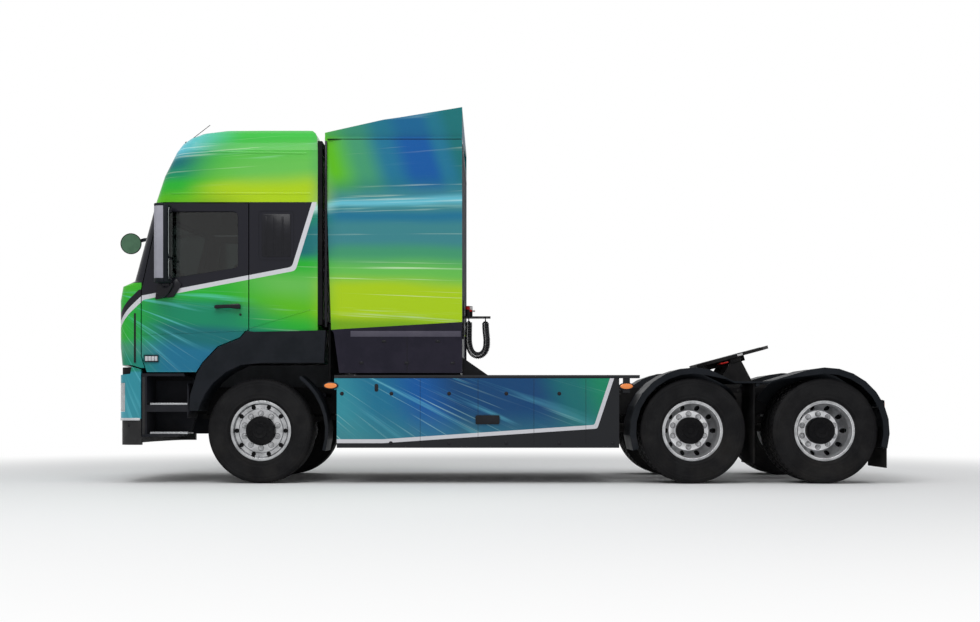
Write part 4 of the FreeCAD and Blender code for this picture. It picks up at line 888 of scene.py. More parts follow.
def rounded(x_low, z_low, x_high, z_high, radius):
    """The outline of a rectangle with round corners."""
    points = []
    for cx, cz, start in (
        (x_high - radius, z_high - radius, 0), (x_low + radius, z_high - radius, 90),
        (x_low + radius, z_low + radius, 180), (x_high - radius, z_low + radius, 270),
    ):
        for k in range(5):
            angle = math.radians(start + 90 * k / 4)
            points.append((cx + radius * math.cos(angle), cz + radius * math.sin(angle)))
    return points


# %% Round parts and copies
ALONG_Y = Matrix.Identity(4)
ALONG_X = Matrix.Rotation(math.radians(-90), 4, "Z")
ALONG_Z = Matrix.Rotation(math.radians(90), 4, "X")


def at(x, y, z, turn=ALONG_Y):
    """A place matrix."""
    return Matrix.Translation((x, y, z)) @ turn


def join(mesh, part, places=(ALONG_Y,)):
    """Adds a copy of a finished part to a mesh at each place, and uses the part up."""
    data = bpy.data.meshes.new("part")
    for place in places:
        copy = part.copy()
        bmesh.ops.transform(copy, matrix=place, verts=copy.verts[:])
        copy.to_mesh(data)
        copy.free()
        mesh.from_mesh(data)
    bpy.data.meshes.remove(data)
    part.free()


def spun(outline, steps=32, closed=False):
    """A round part about the Y axis; the outline gives (radius, place along the axis)."""
    part = bmesh.new()
    spots = [part.verts.new((radius, along_axis, 0.0)) for radius, along_axis in outline]
    edges = [part.edges.new(pair) for pair in zip(spots, spots[1:])]
    if closed:
        edges.append(part.edges.new((spots[-1], spots[0])))
    bmesh.ops.spin(
        part, geom=spots + edges, axis=(0, 1, 0), cent=(0, 0, 0), angle=math.tau, steps=steps,
        use_merge=True)
    bmesh.ops.remove_doubles(part, verts=part.verts[:], dist=0.00001)
    return part


def hexagon(radius, low, high, stud=0.0):
    """A nut or bolt head about the Y axis, outer face at low, with a collar and a stud."""
    part = bmesh.new()
    made = bmesh.ops.create_cone(
        part, cap_ends=True, segments=6, radius1=radius, radius2=radius * 0.94, depth=high - low)
    bmesh.ops.transform(part, matrix=at(0, (low + high) / 2, 0, ALONG_Z), verts=made["verts"])
    wide, start = radius * 1.3, high - 0.003
    join(part, spun([(0.0, start), (wide, start), (wide, high), (0.0, high)], 12))
    if stud:
        thin, thick, tip = radius * 0.45, radius * 0.55, low - stud
        outline = [(0.0, tip), (thin, tip), (thick, tip + 0.004), (thick, low), (0.0, low)]
        join(part, spun(outline, 10))
    return part


def around(count, radius, depth, centre, offset=0.0):
    """Places evenly round a wheel's axle."""
    spots = []
    for k in range(count):
        angle = offset + math.tau * k / count
        arm = Vector((radius * math.cos(angle), depth, radius * math.sin(angle)))
        spots.append(at(*(Vector(centre) + arm), Matrix.Rotation(-angle, 4, "Y")))
    return spots


def rod(mesh, start, end, radius, steps=12):
    """A straight bar between two points, with slightly rounded ends."""
    start, end = Vector(start), Vector(end)
    reach, core, ease = (end - start).length, radius - radius * 0.3, radius * 0.3
    outline = [(0, 0), (core, 0), (radius, ease), (radius, reach - ease), (core, reach), (0, reach)]
    turn = (end - start).to_track_quat("Y", "Z").to_matrix().to_4x4()
    join(mesh, spun(outline, steps), [at(*start, turn)])


# %% [markdown]
# ### Finding the skin
# Trim on the bowed nose follows a skin that is not flat. A ray shot at the construction
# model finds the place and the slope of the skin, and the trim is laid onto it.

# %% Rays onto the construction model
def skin_of(*names):
    """A search tree over the meshes of some construction pieces."""
    together = bmesh.new()
    for name in names:
        together.from_mesh(nodes[name].data)
    tree = BVHTree.FromBMesh(together)
    together.free()
    return tree


front_skin = skin_of("cab_shell", "bumper", "bumper_lower", "windscreen", "cab_roof", "headlamps")
roof_skin = skin_of("cab_roof")


def laid(skin, start, direction, proud):
    """The point where a ray meets the skin, lifted a little towards the start."""
    heading = Vector(direction).normalized()
    hit = skin.ray_cast(Vector(start), heading)[0]
    return (hit if hit is not None else Vector(start)) - heading * proud


def on_nose(y, z, proud=0.002):
    """The point of the nose at a height."""
    return laid(front_skin, (NOSE - 1.5, y, z), (1, 0, 0), proud)


def nose_strip(mesh, wide, low, high, thick, proud, steps=(24, 1), centre=0.0):
    """A strip over half a width each way between two heights, laid onto the nose's bow."""
    part = bmesh.new()
    bmesh.ops.create_grid(part, x_segments=steps[0], y_segments=steps[1], size=0.5)
    for vert in part.verts:
        y = centre + vert.co.x * 2 * wide
        vert.co = on_nose(y, (low + high) / 2 + vert.co.y * (high - low), proud)
    drawn_out(part, part.faces[:], (thick, 0, 0))
    join(mesh, part)


print("tools ready")

# %% [markdown]
# ## Tyres
# The front tyres have straight ribs, and the driven ones have blocks with open shoulders.
# One outline is spun round the axle. Then every second or third strip of faces on the
# shoulders is pushed in, which leaves the blocks standing.

# %% Tyre outlines
SIDEWALL = [
    (0.290, 0.102), (0.304, 0.102), (0.309, 0.108), (0.318, 0.116), (0.330, 0.130), (0.336, 0.139),
    (0.342, 0.141), (0.347, 0.1395), (0.372, 0.145), (0.376, 0.1465), (0.380, 0.1455),
    (0.410, 0.1495), (0.440, 0.150), (0.468, 0.149), (0.472, 0.150), (0.476, 0.1485),
    (0.494, 0.1455), (0.498, 0.147), (0.502, 0.1445),
]
RIBBED_TREAD = [
    (0.520, 0.1385), (0.531, 0.130), (0.5365, 0.118), (0.538, 0.082), (0.525, 0.080),
    (0.525, 0.072), (0.5385, 0.070), (0.540, 0.034), (0.526, 0.032), (0.526, 0.024), (0.540, 0.022),
]
BLOCK_TREAD = [
    (0.512, 0.142), (0.526, 0.135), (0.536, 0.125), (0.5385, 0.090), (0.539, 0.052),
    (0.524, 0.050), (0.524, 0.042), (0.540, 0.040), (0.540, 0.008), (0.527, 0.006),
]
# Each row of notches: depth from and to, phase, every so many strips, least radius.
RIB_NOTCHES = [(0.118, 0.139, 0, 2, 0.515)]
BLOCK_NOTCHES = [(0.052, 0.119, 0, 3, 0.515), (0.008, 0.040, 1, 3, 0.53)]


def tyre(mesh, axle, y, tread, steps, notches):
    """A tyre with its tread and the notches of its shoulders."""
    half = SIDEWALL + tread
    part = spun(half + [(radius, -depth) for radius, depth in reversed(half)], steps, closed=True)
    chosen = []
    for face in part.faces:
        spot = face.calc_center_median()
        radius = math.hypot(spot.x, spot.z)
        step = int((math.atan2(spot.z, spot.x) + math.pi) / (math.tau / steps)) + (spot.y > 0)
        if any(
            low < abs(spot.y) < high and radius > least and step % every == phase
            for low, high, phase, every, least in notches
        ):
            chosen.append(face)
    deep = drawn_out(part, chosen, (0, 0, 0))
    bmesh.ops.delete(part, geom=chosen, context="FACES")
    bmesh.ops.scale(part, vec=(0.987, 1, 0.987), verts=deep)
    join(mesh, part, [at(axle, y, HUB)])


# %% Ten tyres on six axle ends
@on_each_side("front_tyre_with_tread", tyre_rubber, "{}_front_wheel", "front_tyre_")
def front_tyre(mesh):
    tyre(mesh, FRONT_AXLE, -1.050, RIBBED_TREAD, 180, RIB_NOTCHES)


for where, axle in (("mid", MID_AXLE), ("rear", REAR_AXLE)):
    wheels = "{}_" + where + "_wheels"

    @on_each_side(f"{where}_tyres_with_tread", tyre_rubber, wheels, f"{where}_tyres_")
    def twin_tyres(mesh):
        for y in (-1.102, -0.762):
            tyre(mesh, axle, y, BLOCK_TREAD, 168, BLOCK_NOTCHES)
print("ten tyres")

# %% [markdown]
# ## Wheels
# The polished discs keep the construction shape. Nuts with studs, a bright lip, a dark hub
# with its bolts and a valve are added, and they turn with each wheel.

# %% Nuts, hubs and lips
# Place of the disc, circle of the nuts, place of the lip, the hub's face and radius, and
# the place of the dark ring behind the disc's holes.
DRIVEN = (-0.945, 0.172, -1.213, -1.1065, 0.138, -0.934)
for where, axle, wheel, sizes in (
    ("front", FRONT_AXLE, "wheel", (-1.142, 0.177, -1.161, -1.2245, 0.143, -1.111)),
    ("mid", MID_AXLE, "wheels", DRIVEN),
    ("rear", REAR_AXLE, "wheels", DRIVEN),
):
    disc_y, nut_circle, lip_y, face, radius, ring_y = sizes
    hub = Vector((axle, 0, HUB))

    @on_each_side(f"{where}_wheel_nuts", polished, "{}_" + where + "_" + wheel)
    def wheel_nuts(mesh):
        """Bright pieces on one wheel: nuts, valve and the rolled lip."""
        nut_places = around(10, nut_circle, disc_y, hub, 0.314)
        join(mesh, hexagon(0.0205, -0.030, 0.0, 0.010), nut_places)
        lip = [
            (0.304, lip_y + 0.010), (0.3105, lip_y + 0.006), (0.311, lip_y - 0.001),
            (0.304, lip_y - 0.004), (0.286, lip_y - 0.001), (0.283, lip_y + 0.010),
        ]
        join(mesh, spun(lip, 96, closed=True), [at(*hub)])
        valve = hub + Vector((0.268, lip_y + 0.060, 0.030))
        rod(mesh, valve, hub + Vector((0.262, lip_y + 0.004, 0.030)), 0.0045, 8)

    @on_each_side(f"{where}_hub_cover", hub_black, "{}_" + where + "_" + wheel)
    def hub_cover(mesh):
        """The dark hub in the middle of a wheel, with a ring of bolts and a round cover."""
        outline = [(r, face + y) for r, y in (
            (0.0, -0.008), (0.030, -0.008), (0.036, -0.002), (0.060, -0.002), (0.066, -0.006),
            (0.074, -0.006), (0.080, 0.0), (0.112, 0.001), (0.120, 0.003), (radius - 0.003, 0.006),
            (radius + 0.001, 0.012),
        )] + [(radius + 0.001, disc_y - 0.012), (radius + 0.008, disc_y - 0.004),
              (radius + 0.008, disc_y), (0.0, disc_y)]
        join(mesh, spun(outline, 64), [at(*hub)])
        washer = [(0.0, -0.0025), (0.029, -0.0025), (0.031, 0.001), (0.0, 0.001)]
        join(mesh, spun(washer, 18), around(10, nut_circle, disc_y, hub, 0.314))
        corners = ((0.212, -0.004), (0.278, -0.004), (0.278, 0.004), (0.212, 0.004))
        ring = [(r, ring_y + y) for r, y in corners]
        join(mesh, spun(ring, 48, closed=True), [at(*hub)])
        join(mesh, hexagon(0.009, -0.008, 0.0), around(12, 0.098, face + 0.001, hub))
        join(mesh, hexagon(0.005, -0.004, 0.0), around(6, 0.049, face - 0.002, hub, 0.2))
print("wheel pieces for six axle ends")

# %% [markdown]
# ## Door furniture
# Each door gets a rubber seal round its window, a handle over a dished cup, a lock, and a
# side marker in a dark frame. The pieces ride on the doors, so that they open with them.

# %% Window seal
WINDOW = [
    (-0.938, 2.092), (-0.953, 2.106), (-0.955, 2.120), (-0.921, 2.738), (-0.914, 2.762),
    (-0.895, 2.776), (-0.262, 2.778), (-0.238, 2.768), (-0.222, 2.748), (-0.217, 2.720),
    (-0.217, 2.245), (-0.221, 2.222), (-0.234, 2.206), (-0.250, 2.200),
]


@on_each_side("window_seal", soft_rubber, "{}_door")
def window_seal(mesh):
    side_ring(mesh, WINDOW, 0.016, -0.0025, 0.030)


# %% Handle, cup, lock and marker
@on_each_side("door_handle", gloss_black, "{}_door")
def door_handle(mesh):
    grip = [
        (-0.455, 1.800), (-0.440, 1.822), (-0.300, 1.828), (-0.200, 1.836), (-0.183, 1.820),
        (-0.186, 1.790), (-0.205, 1.780), (-0.300, 1.790), (-0.440, 1.784),
    ]
    side_plate(mesh, grip, -0.052, -0.030, 0.008)
    side_block(mesh, -0.448, 1.786, -0.400, 1.820, -0.045, 0.004, 0.006)
    side_block(mesh, -0.236, 1.784, -0.188, 1.828, -0.045, 0.004, 0.006)
    lock = [(0.0, -0.007), (0.009, -0.007), (0.012, -0.004), (0.012, 0.002), (0.0, 0.002)]
    join(mesh, spun(lock, 24), [at(back(-0.192), -SIDE, 1.726)])


@on_each_side("handle_cup", cab_paint, "{}_door")
def handle_cup(mesh):
    """A dished ring that stands for the cup behind the grip."""
    part = spun([
        (0.0, 0.001), (0.040, 0.0005), (0.052, -0.001), (0.060, -0.0035), (0.066, -0.003),
        (0.070, 0.003), (0.0, 0.004),
    ], 40)
    bmesh.ops.scale(part, vec=(1.05, 1.0, 0.72), verts=part.verts[:])
    join(mesh, part, [at(back(-0.322), -SIDE, 1.820)])


@on_each_side("marker_frame", gloss_black, "{}_door")
def marker_frame(mesh):
    side_ring(mesh, rounded(-1.180, 1.236, -1.022, 1.320, 0.022), 0.013, -0.006, 0.004)
    side_block(mesh, -1.172, 1.244, -1.030, 1.312, -0.002, 0.003, 0.002)


@on_each_side("marker_lens", pale_lens, "{}_door")
def marker_lens(mesh):
    for x in (0.0325 * k for k in range(4)):
        side_block(mesh, -1.164 + x, 1.254, -1.135 + x, 1.302, -0.009, -0.001, 0.004)


print("door furniture on both doors")

# %% [markdown]
# ## Door mirrors
# The housing is tall and narrow, with a pale front shell, a dark back and two glasses: a
# large one and a wide-angle one under it. Its foot is a dark bracket that spreads on the
# door. The construction solid is replaced by these pieces, inside its outline.

# %% Mirror housing, shell and caps; outlines from above, counted from the mirror's front
MIRROR = -1.019


def mirror_plan(mesh, plan, low, high, soft):
    pulled(mesh, [(back(MIRROR + x), y) for x, y in plan], low, high, soft, "Z")


@on_each_side("mirror_housing", dark_plastic, "{}_door", "mirror_")
def mirror_housing(mesh):
    mirror_plan(mesh, [
        (0.050, -1.300), (0.050, -1.480), (0.120, -1.478), (0.146, -1.446), (0.146, -1.318),
        (0.122, -1.292),
    ], 2.036, 2.824, 0.012)


@on_each_side("mirror_shell", mirror_grey, "{}_door")
def mirror_shell(mesh):
    """The pale shell wraps the front and both narrow sides."""
    mirror_plan(mesh, [
        (0.088, -1.292), (0.026, -1.292), (0.003, -1.324), (0.003, -1.464), (0.036, -1.494),
        (0.100, -1.490), (0.100, -1.482), (0.040, -1.484), (0.012, -1.460), (0.012, -1.328),
        (0.030, -1.300), (0.088, -1.300),
    ], 2.075, 2.800, 0.002)


@on_each_side("mirror_caps", dark_plastic, "{}_door")
def mirror_caps(mesh):
    plan = [
        (0.098, -1.288), (0.024, -1.288), (0.001, -1.322), (0.001, -1.466), (0.036, -1.4945),
        (0.104, -1.490),
    ]
    mirror_plan(mesh, plan, 2.032, 2.080, 0.010)
    mirror_plan(mesh, plan, 2.796, 2.829, 0.010)


# %% Mirror glasses and bracket
@on_each_side("mirror_glass", mirror_silver, "{}_door")
def mirror_glass(mesh):
    for low, high in ((2.300, 2.790), (2.070, 2.276)):
        corners = ((-1.304, low + 0.03), (-1.334, low), (-1.440, low), (-1.462, low + 0.03))
        outline = [*corners, *((y, low + high - z) for y, z in reversed(corners))]
        pulled(mesh, outline, back(MIRROR + 0.146), back(MIRROR + 0.149), 0.001, "X")


@on_each_side("mirror_bracket", gloss_black, "{}_door")
def mirror_bracket(mesh):
    arm = [
        (0.030, 2.045), (0.022, 1.985), (-0.020, 1.945), (0.020, 1.900), (0.070, 1.890),
        (0.110, 1.935), (0.160, 2.030), (0.120, 2.070),
    ]
    foot = [(-0.040, 1.880), (0.150, 1.905), (0.235, 2.030), (0.180, 2.090), (-0.020, 2.010)]
    side_plate(mesh, arm, -0.075, -0.022, 0.014, MIRROR)
    side_plate(mesh, foot, -0.026, 0.002, 0.008, MIRROR)
    side_block(mesh, MIRROR + 0.045, 2.010, MIRROR + 0.125, 2.050, -0.100, -0.030, 0.010)
    side_block(mesh, MIRROR + 0.040, 2.742, MIRROR + 0.105, 2.774, -0.065, 0.002, 0.008)
    side_block(mesh, MIRROR + 0.020, 2.715, MIRROR + 0.135, 2.800, -0.016, 0.002, 0.008)


print("door mirrors", [round(v, 3) for v in (back(MIRROR), 2.03, 2.83)])

# %% [markdown]
# ## The nose
# Seen from above, the nose is a long flat arc with a tight corner on each side. One
# function gives that line with any offset, so that trim can wrap round the nose at a
# given height: a silver strip on the bumper, dark slats and the line under the cab.

# %% The nose's line from above
BOW, CORNER, CORNER_START = 5.56, 0.15, 0.147


def nose_line(offset, reach):
    """Points from the left side round the nose to the right side, offset from the skin."""
    edge = [(NOSE + reach, -SIDE - offset)] if reach > CORNER_START else []
    for k in range(7):
        angle, radius = math.radians(90 - 79 * k / 6), CORNER + offset
        edge.append((
            NOSE + CORNER_START - radius * math.cos(angle), -1.095 - radius * math.sin(angle)))
    arc, radius = [], BOW + offset
    for k in range(29):
        angle = math.asin(1.110 / BOW) * (2 * k / 28 - 1)
        arc.append((NOSE - 0.115 + BOW - radius * math.cos(angle), radius * math.sin(angle)))
    return edge + arc + [(x, -y) for x, y in reversed(edge)]


def wrapped(mesh, low, high, outside, inside, reach):
    """A band that wraps the nose between two heights."""
    line = nose_line(outside, reach) + nose_line(inside, reach)[::-1]
    pulled(mesh, line, low, high, 0.002, "Z")


# %% Bumper trim: silver strip, dark slats, blank plate
mesh = bmesh.new()
wrapped(mesh, 0.646, 0.672, 0.004, -0.020, 0.230)
new_piece("bumper_silver_strip", mesh, silver_trim)

mesh = bmesh.new()
for wide, level, high in (
    (0.56, 0.724, 0.030), (0.56, 0.776, 0.030), (0.56, 0.828, 0.030),
    (0.80, 0.470, 0.036), (0.80, 0.530, 0.036),
):
    nose_strip(mesh, wide, level, level + high, 0.012, 0.008)
new_piece("bumper_slats", mesh, gloss_black)

mesh = bmesh.new()
plate_x = on_nose(0.0, 0.93).x
block(mesh, (plate_x - 0.010, -0.260, 0.900), (plate_x + 0.004, 0.260, 1.010))
new_piece("front_plate_blank", mesh, blank_white)

# %% Grille slats, badge plate and wipers on the cab
mesh = bmesh.new()
nose_strip(mesh, 1.02, 1.300, 1.640, 0.006, 0.003, (24, 4))
nose_strip(mesh, 0.90, 1.840, 1.985, 0.006, 0.003, (24, 2))
for k in range(5):
    nose_strip(mesh, 0.94 - 0.02 * k, 1.318 + 0.064 * k, 1.354 + 0.064 * k, 0.014, 0.014)
new_piece("grille_slats", mesh, gloss_black, "cab")

mesh = bmesh.new()
disc = [
    (0.0, -0.012), (0.030, -0.012), (0.046, -0.008), (0.050, -0.003), (0.050, 0.004), (0.0, 0.004),
]
join(mesh, spun(disc, 40), [at(on_nose(0.0, 1.742).x, 0, 1.742, ALONG_X)])
nose_strip(mesh, 0.92, 1.656, 1.668, 0.004, 0.006)
new_piece("blank_badge", mesh, silver_trim, "cab")

mesh = bmesh.new()
for y, span in ((-0.70, 0.62), (0.0, 0.60), (0.70, 0.62)):
    nose_strip(mesh, span / 2, 2.150, 2.164, 0.010, 0.014, (12, 1), y)
    pivot = on_nose(y + span * 0.42, 2.085, 0.012)
    rod(mesh, pivot, on_nose(y, 2.157, 0.022), 0.007, 8)
    rod(mesh, pivot + Vector((0.03, 0, -0.01)), pivot - Vector((0.012, 0, 0)), 0.016, 16)
new_piece("wipers", mesh, soft_rubber, "cab")

# %% Headlamp insides, lenses and fog lamps
def lamp_parts(mesh, outline, proud):
    for y in (-0.860, -1.010):
        join(mesh, spun(outline, 32), [at(on_nose(y, 0.885, proud).x, y, 0.885, ALONG_X)])


@on_each_side("lamp_insides", polished, "chassis")
def lamp_insides(mesh):
    lamp_parts(mesh, [
        (0.0, 0.052), (0.0186, 0.050), (0.0465, 0.030), (0.062, 0.0), (0.068, 0.0),
        (0.068, 0.060), (0.0, 0.060),
    ], -0.030)


@on_each_side("lamp_lenses", pale_lens, "chassis")
def lamp_lenses(mesh):
    ball = [(0.0, -0.012), (0.020, -0.009), (0.036, 0.002), (0.040, 0.012), (0.0, 0.014)]
    lamp_parts(mesh, ball, -0.040)


@on_each_side("fog_lamps", pale_lens, "chassis")
def fog_lamps(mesh):
    rim = [
        (0.0, 0.004), (0.048, 0.002), (0.056, -0.004), (0.062, -0.004), (0.066, 0.002),
        (0.066, 0.016), (0.0, 0.016),
    ]
    join(mesh, spun(rim, 36), [at(on_nose(-0.930, 0.545).x + 0.004, -0.930, 0.545, ALONG_X)])


# %% The dark slot at the cab's corner and the hole in the lower bumper
mesh = bmesh.new()
side_block(mesh, -1.279, 1.236, -1.258, 1.742, -0.0025, 0.003, 0.002)
twofold("corner_slots", mesh, gloss_black, "cab")

# The hole is a black disc on the bumper: painted shade for the hollow inside it.
mesh = bmesh.new()
spot = laid(skin_of("bumper_lower"), (back(-1.330), -2.0, 0.600), (0, 1, 0), 0.0)
hole = [(0.0, -0.002), (0.016, -0.002), (0.019, 0.0), (0.019, 0.006), (0.0, 0.006)]
join(mesh, spun(hole, 24), [at(*spot)])
twofold("bumper_side_hole_shade", mesh, gloss_black)
print("nose; hole in the lower bumper at", spot)

# %% [markdown]
# ## Cab trim
# A blind panel stands behind each door at window height. The roof carries an aerial. The
# far front corner has a round mirror that looks down: its glass lies in a rubber rim.

# %% Blind quarter panels and aerial
mesh = bmesh.new()
side_ring(mesh, rounded(-0.004, 2.284, 0.352, 2.782, 0.034), 0.012, -0.0035, 0.002)
side_plate(mesh, rounded(0.026, 2.314, 0.322, 2.752, 0.020), -0.0040, 0.002, 0.0015)
for x in (0.085 * k for k in range(3)):
    side_block(mesh, 0.060 + x, 2.340, 0.078 + x, 2.726, -0.0065, 0.001, 0.002)
twofold("quarter_panels", mesh, gloss_black, "cab")

mesh = bmesh.new()
foot = laid(roof_skin, (back(-0.800), -1.02, 6.0), (0, 0, -1), 0.0)
rod(mesh, foot - Vector((0, 0, 0.012)), foot + Vector((0.012, 0, 0.024)), 0.018, 20)
rod(mesh, foot + Vector((0.008, 0, 0.012)), foot + Vector((0.250, 0, 0.200)), 0.0035, 8)
new_piece("aerial", mesh, soft_rubber, "cab")

# %% Creases of the doors, the cab's rear corner and the roof
def crease(mesh, x_low, z_low, x_high, z_high):
    """A low bead along a slanted line on the flat side."""
    line = [(x_low, z_low), (x_high, z_high), (x_high, z_high + 0.010), (x_low, z_low + 0.010)]
    side_plate(mesh, line, -0.0035, 0.003, 0.002)


@on_each_side("door_crease", cab_paint, "{}_door")
def door_crease(mesh):
    crease(mesh, -1.190, 1.518, -0.122, 1.559)


mesh = bmesh.new()
crease(mesh, -0.102, 1.582, 0.520, 1.773)
twofold("quarter_crease", mesh, cab_paint, "cab")

mesh = bmesh.new()
for x_low, z_low, x_high, z_high in ((-0.520, 3.392, 0.480, 3.375), (-0.960, 2.965, 0.520, 2.960)):
    part = bmesh.new()
    bmesh.ops.create_grid(part, x_segments=20, y_segments=2, size=0.5)
    for vert in part.verts:
        u, v = vert.co.x, vert.co.y
        x = back((x_low + x_high) / 2 + u * (x_high - x_low))
        z = (z_low + z_high) / 2 + u * (z_high - z_low) + v * 0.022
        vert.co = laid(roof_skin, (x, -3.0, z), (0, 1, 0), 0.004 * (1 - abs(v) * 1.6))
    drawn_out(part, part.faces[:], (0, 0.012, 0))
    join(mesh, part)
twofold("roof_beads", mesh, cab_paint, "cab")

# %% Dark band and screens under the nose close the view through the gap; their dark rubber is painted shade
mesh = bmesh.new()
wrapped(mesh, 1.090, 1.190, -0.018, -0.045, 0.147)
for y in (-0.870, 0.870):
    block(mesh, (back(-1.440), y - 0.008, 1.060), (back(-0.770), y + 0.008, 1.204))
new_piece("nose_gap_shade_screens", mesh, soft_rubber)

# %% Front mirror: rim and glass over the dark bowl
bowl = Vector((NOSE - 0.603 + 0.125, 0.940, ROOF_EDGE - 0.134))
mesh = bmesh.new()
rim = [
    (0.1165, -0.004), (0.1225, -0.004), (0.1245, 0.002), (0.1245, 0.012), (0.1185, 0.014),
    (0.1150, 0.004),
]
join(mesh, spun(rim, 56, closed=True), [at(*bowl)])
new_piece("front_mirror_rim", mesh, soft_rubber, "cab")
mesh = bmesh.new()
dome = [
    (0.0, -0.006), (0.040, -0.0055), (0.080, -0.004), (0.117, -0.001), (0.117, 0.003), (0.0, 0.003),
]
join(mesh, spun(dome, 56), [at(*bowl)])
new_piece("front_mirror_glass", mesh, mirror_painted_green_reflection, "cab")
print("cab trim; front mirror at", [round(v, 3) for v in bowl])

# %% [markdown]
# ## Boarding steps
# Each step well has a metal tread with a toothed bright edge, so that boots do not slip.
# The teeth are one small wedge, copied along the edge.

# %% Treads with toothed edges
mesh = bmesh.new()
for level in (0.525, 0.821):
    side_block(mesh, -1.120, level - 0.016, -0.735, level - 0.002, 0.022, 0.270)
    tooth = bmesh.new()
    block(tooth, (-0.0045, -0.004, 0.0), (0.0045, 0.010, 0.012), 0.0015)
    edge = [at(back(-1.120) + 0.008 + 0.0155 * k, -SIDE + 0.022, level - 0.006) for k in range(25)]
    join(mesh, tooth, edge)
    bar = bmesh.new()
    block(bar, (back(-1.120) + 0.01, -0.005, 0.0), (back(-0.735) - 0.01, 0.005, 0.005), 0.0015)
    join(mesh, bar, [at(0, -SIDE + 0.070 + 0.055 * row, level - 0.004) for row in range(4)])
twofold("step_treads", mesh, silver_trim)
mesh = bmesh.new()
side_block(mesh, -1.196, 0.500, -1.168, 1.090, 0.004, 0.030, 0.006)
twofold("step_posts", mesh, bumper_grey)
print("steps")

# %% [markdown]
# ## Fairing and its base
# The tall fairing is built from flat panels. A dark strip marks its leading edge, a fine
# seam runs along its top edge, and small latches hold the base's lids.

# %% Fairing trim
for name, finish, corners, low, high, soft in (
    ("fairing_edge_strip", gloss_black, (0.668, 1.600, 0.690, 3.500), 0.002, 0.030, 0.004),
    ("fairing_seams", soft_rubber, (0.695, 3.5125, 2.064, 3.5205), -0.0008, 0.02, 0.001),
    # The pale strip on the base's top is a painted highlight.
    ("base_top_highlight_strip", base_painted_highlight, (0.930, 1.500, 2.057, 1.560), -0.0015, 0.01, 0.003),
):
    mesh = bmesh.new()
    side_block(mesh, *corners, low, high, soft)
    twofold(name, mesh, finish)
mesh = bmesh.new()
for x, z in ((1.02, 1.22), (1.48, 1.22), (1.95, 1.22), (1.25, 1.44), (1.80, 1.44)):
    side_block(mesh, x, z, x + 0.044, z + 0.026, -0.004, 0.004)
    join(mesh, hexagon(0.007, -0.006, -0.002), [at(back(x + 0.022), -SIDE, z + 0.013)])
side_block(mesh, 1.505, 1.140, 1.511, 1.495, -0.0012, 0.004, 0.0008)
twofold("base_latches", mesh, gloss_black)

# %% Ribs on the stack's rear face, and a dark apron between the cab and the fairing's base: painted shade for the gap there
mesh = bmesh.new()
for y in (-1.00 + 0.25 * k for k in range(9)):
    block(mesh, (back(2.039), y - 0.022, 1.720), (back(2.072), y + 0.022, 3.440), 0.006)
for low in (3.455, 1.660):
    block(mesh, (back(2.039), -1.100, low), (back(2.073), 1.100, low + 0.045), 0.006)
new_piece("stack_ribs", mesh, pack_paint)

mesh = bmesh.new()
block(mesh, (back(0.690), -1.130, 1.020), (back(0.716), 1.130, 1.640), 0.008)
for y in (-0.96 + 0.32 * k for k in range(7)):
    block(mesh, (back(0.682), y - 0.018, 1.060), (back(0.700), y + 0.018, 1.600), 0.004)
new_piece("gap_shade_apron", mesh, soft_rubber)
print("fairing trim")

# %% [markdown]
# ## Skirts
# Long lids close the batteries. Quarter-turn studs hold them, and a hatch, a slot for the
# hand and two marker lamps interrupt them.

# %% Studs, lid seams, hatch and rail
mesh = bmesh.new()
stud = [
    (0.0, -0.0045), (0.010, -0.0045), (0.013, -0.002), (0.019, -0.0015), (0.021, 0.001),
    (0.0, 0.002),
]
places = [at(back(x), -SIDE, 0.920) for x in (0.843, 1.348, 1.936, 2.520, 3.060)]
places += [at(back(x), -SIDE, 0.415) for x in (1.342, 1.936, 2.520, 3.060, 3.604)]
join(mesh, spun(stud, 20), places)
twofold("skirt_studs", mesh, gloss_black)

mesh = bmesh.new()
for x in (1.640, 2.230, 2.800, 3.330):
    side_block(mesh, x, 0.400, x + 0.003, 1.070, -0.0006, 0.004, 0.0005)
# The hand slot and the hatch are black plates: painted shade for these recesses. The thin bars
# above are the lids' dark seams.
side_plate(mesh, rounded(1.176, 0.940, 1.214, 1.020, 0.016), -0.0015, 0.002, 0.001)
side_plate(mesh, rounded(2.206, 0.606, 2.452, 0.700, 0.018), -0.0012, 0.002, 0.001)
twofold("skirt_seams_and_shaded_recesses", mesh, gloss_black)
mesh = bmesh.new()
side_ring(mesh, rounded(2.200, 0.600, 2.458, 0.706, 0.022), 0.008, -0.004, 0.002)
side_block(mesh, 0.800, 1.078, 3.668, 1.088, -0.003, 0.006, 0.002)
twofold("skirt_edges", mesh, dark_plastic)

# %% Side markers: oval lenses in dark cups
for name, finish, half_x, half_z, depth, foot in (
    ("marker_cups", gloss_black, 0.079, 0.037, 0.004, 0.012),
    ("marker_lenses", amber, 0.068, 0.029, 0.0075, 0.004),
):
    mesh = bmesh.new()
    dome = [(0.0, -depth), (0.6, -depth * 0.95), (0.9, -depth * 0.6), (1.0, 0.0)]
    part = spun(dome + [(1.0, foot), (0.0, foot)], 36)
    bmesh.ops.scale(part, vec=(half_x, 1, half_z), verts=part.verts[:])
    spots = ((0.7286, 1.0016), (3.7449, 0.9955))
    join(mesh, part, [at(back(x), -SIDE - 0.010, z) for x, z in spots])
    twofold(name, mesh, finish, replaced="lamps")
print("skirts and markers")

# %% [markdown]
# ## Mudguards, flaps and the tail
# The rear mudguards get dark inner walls as painted shade over the tyres, the flaps get
# ribs, and each tail lamp has its fields: amber for turning, red for braking and a pale one for
# reversing.

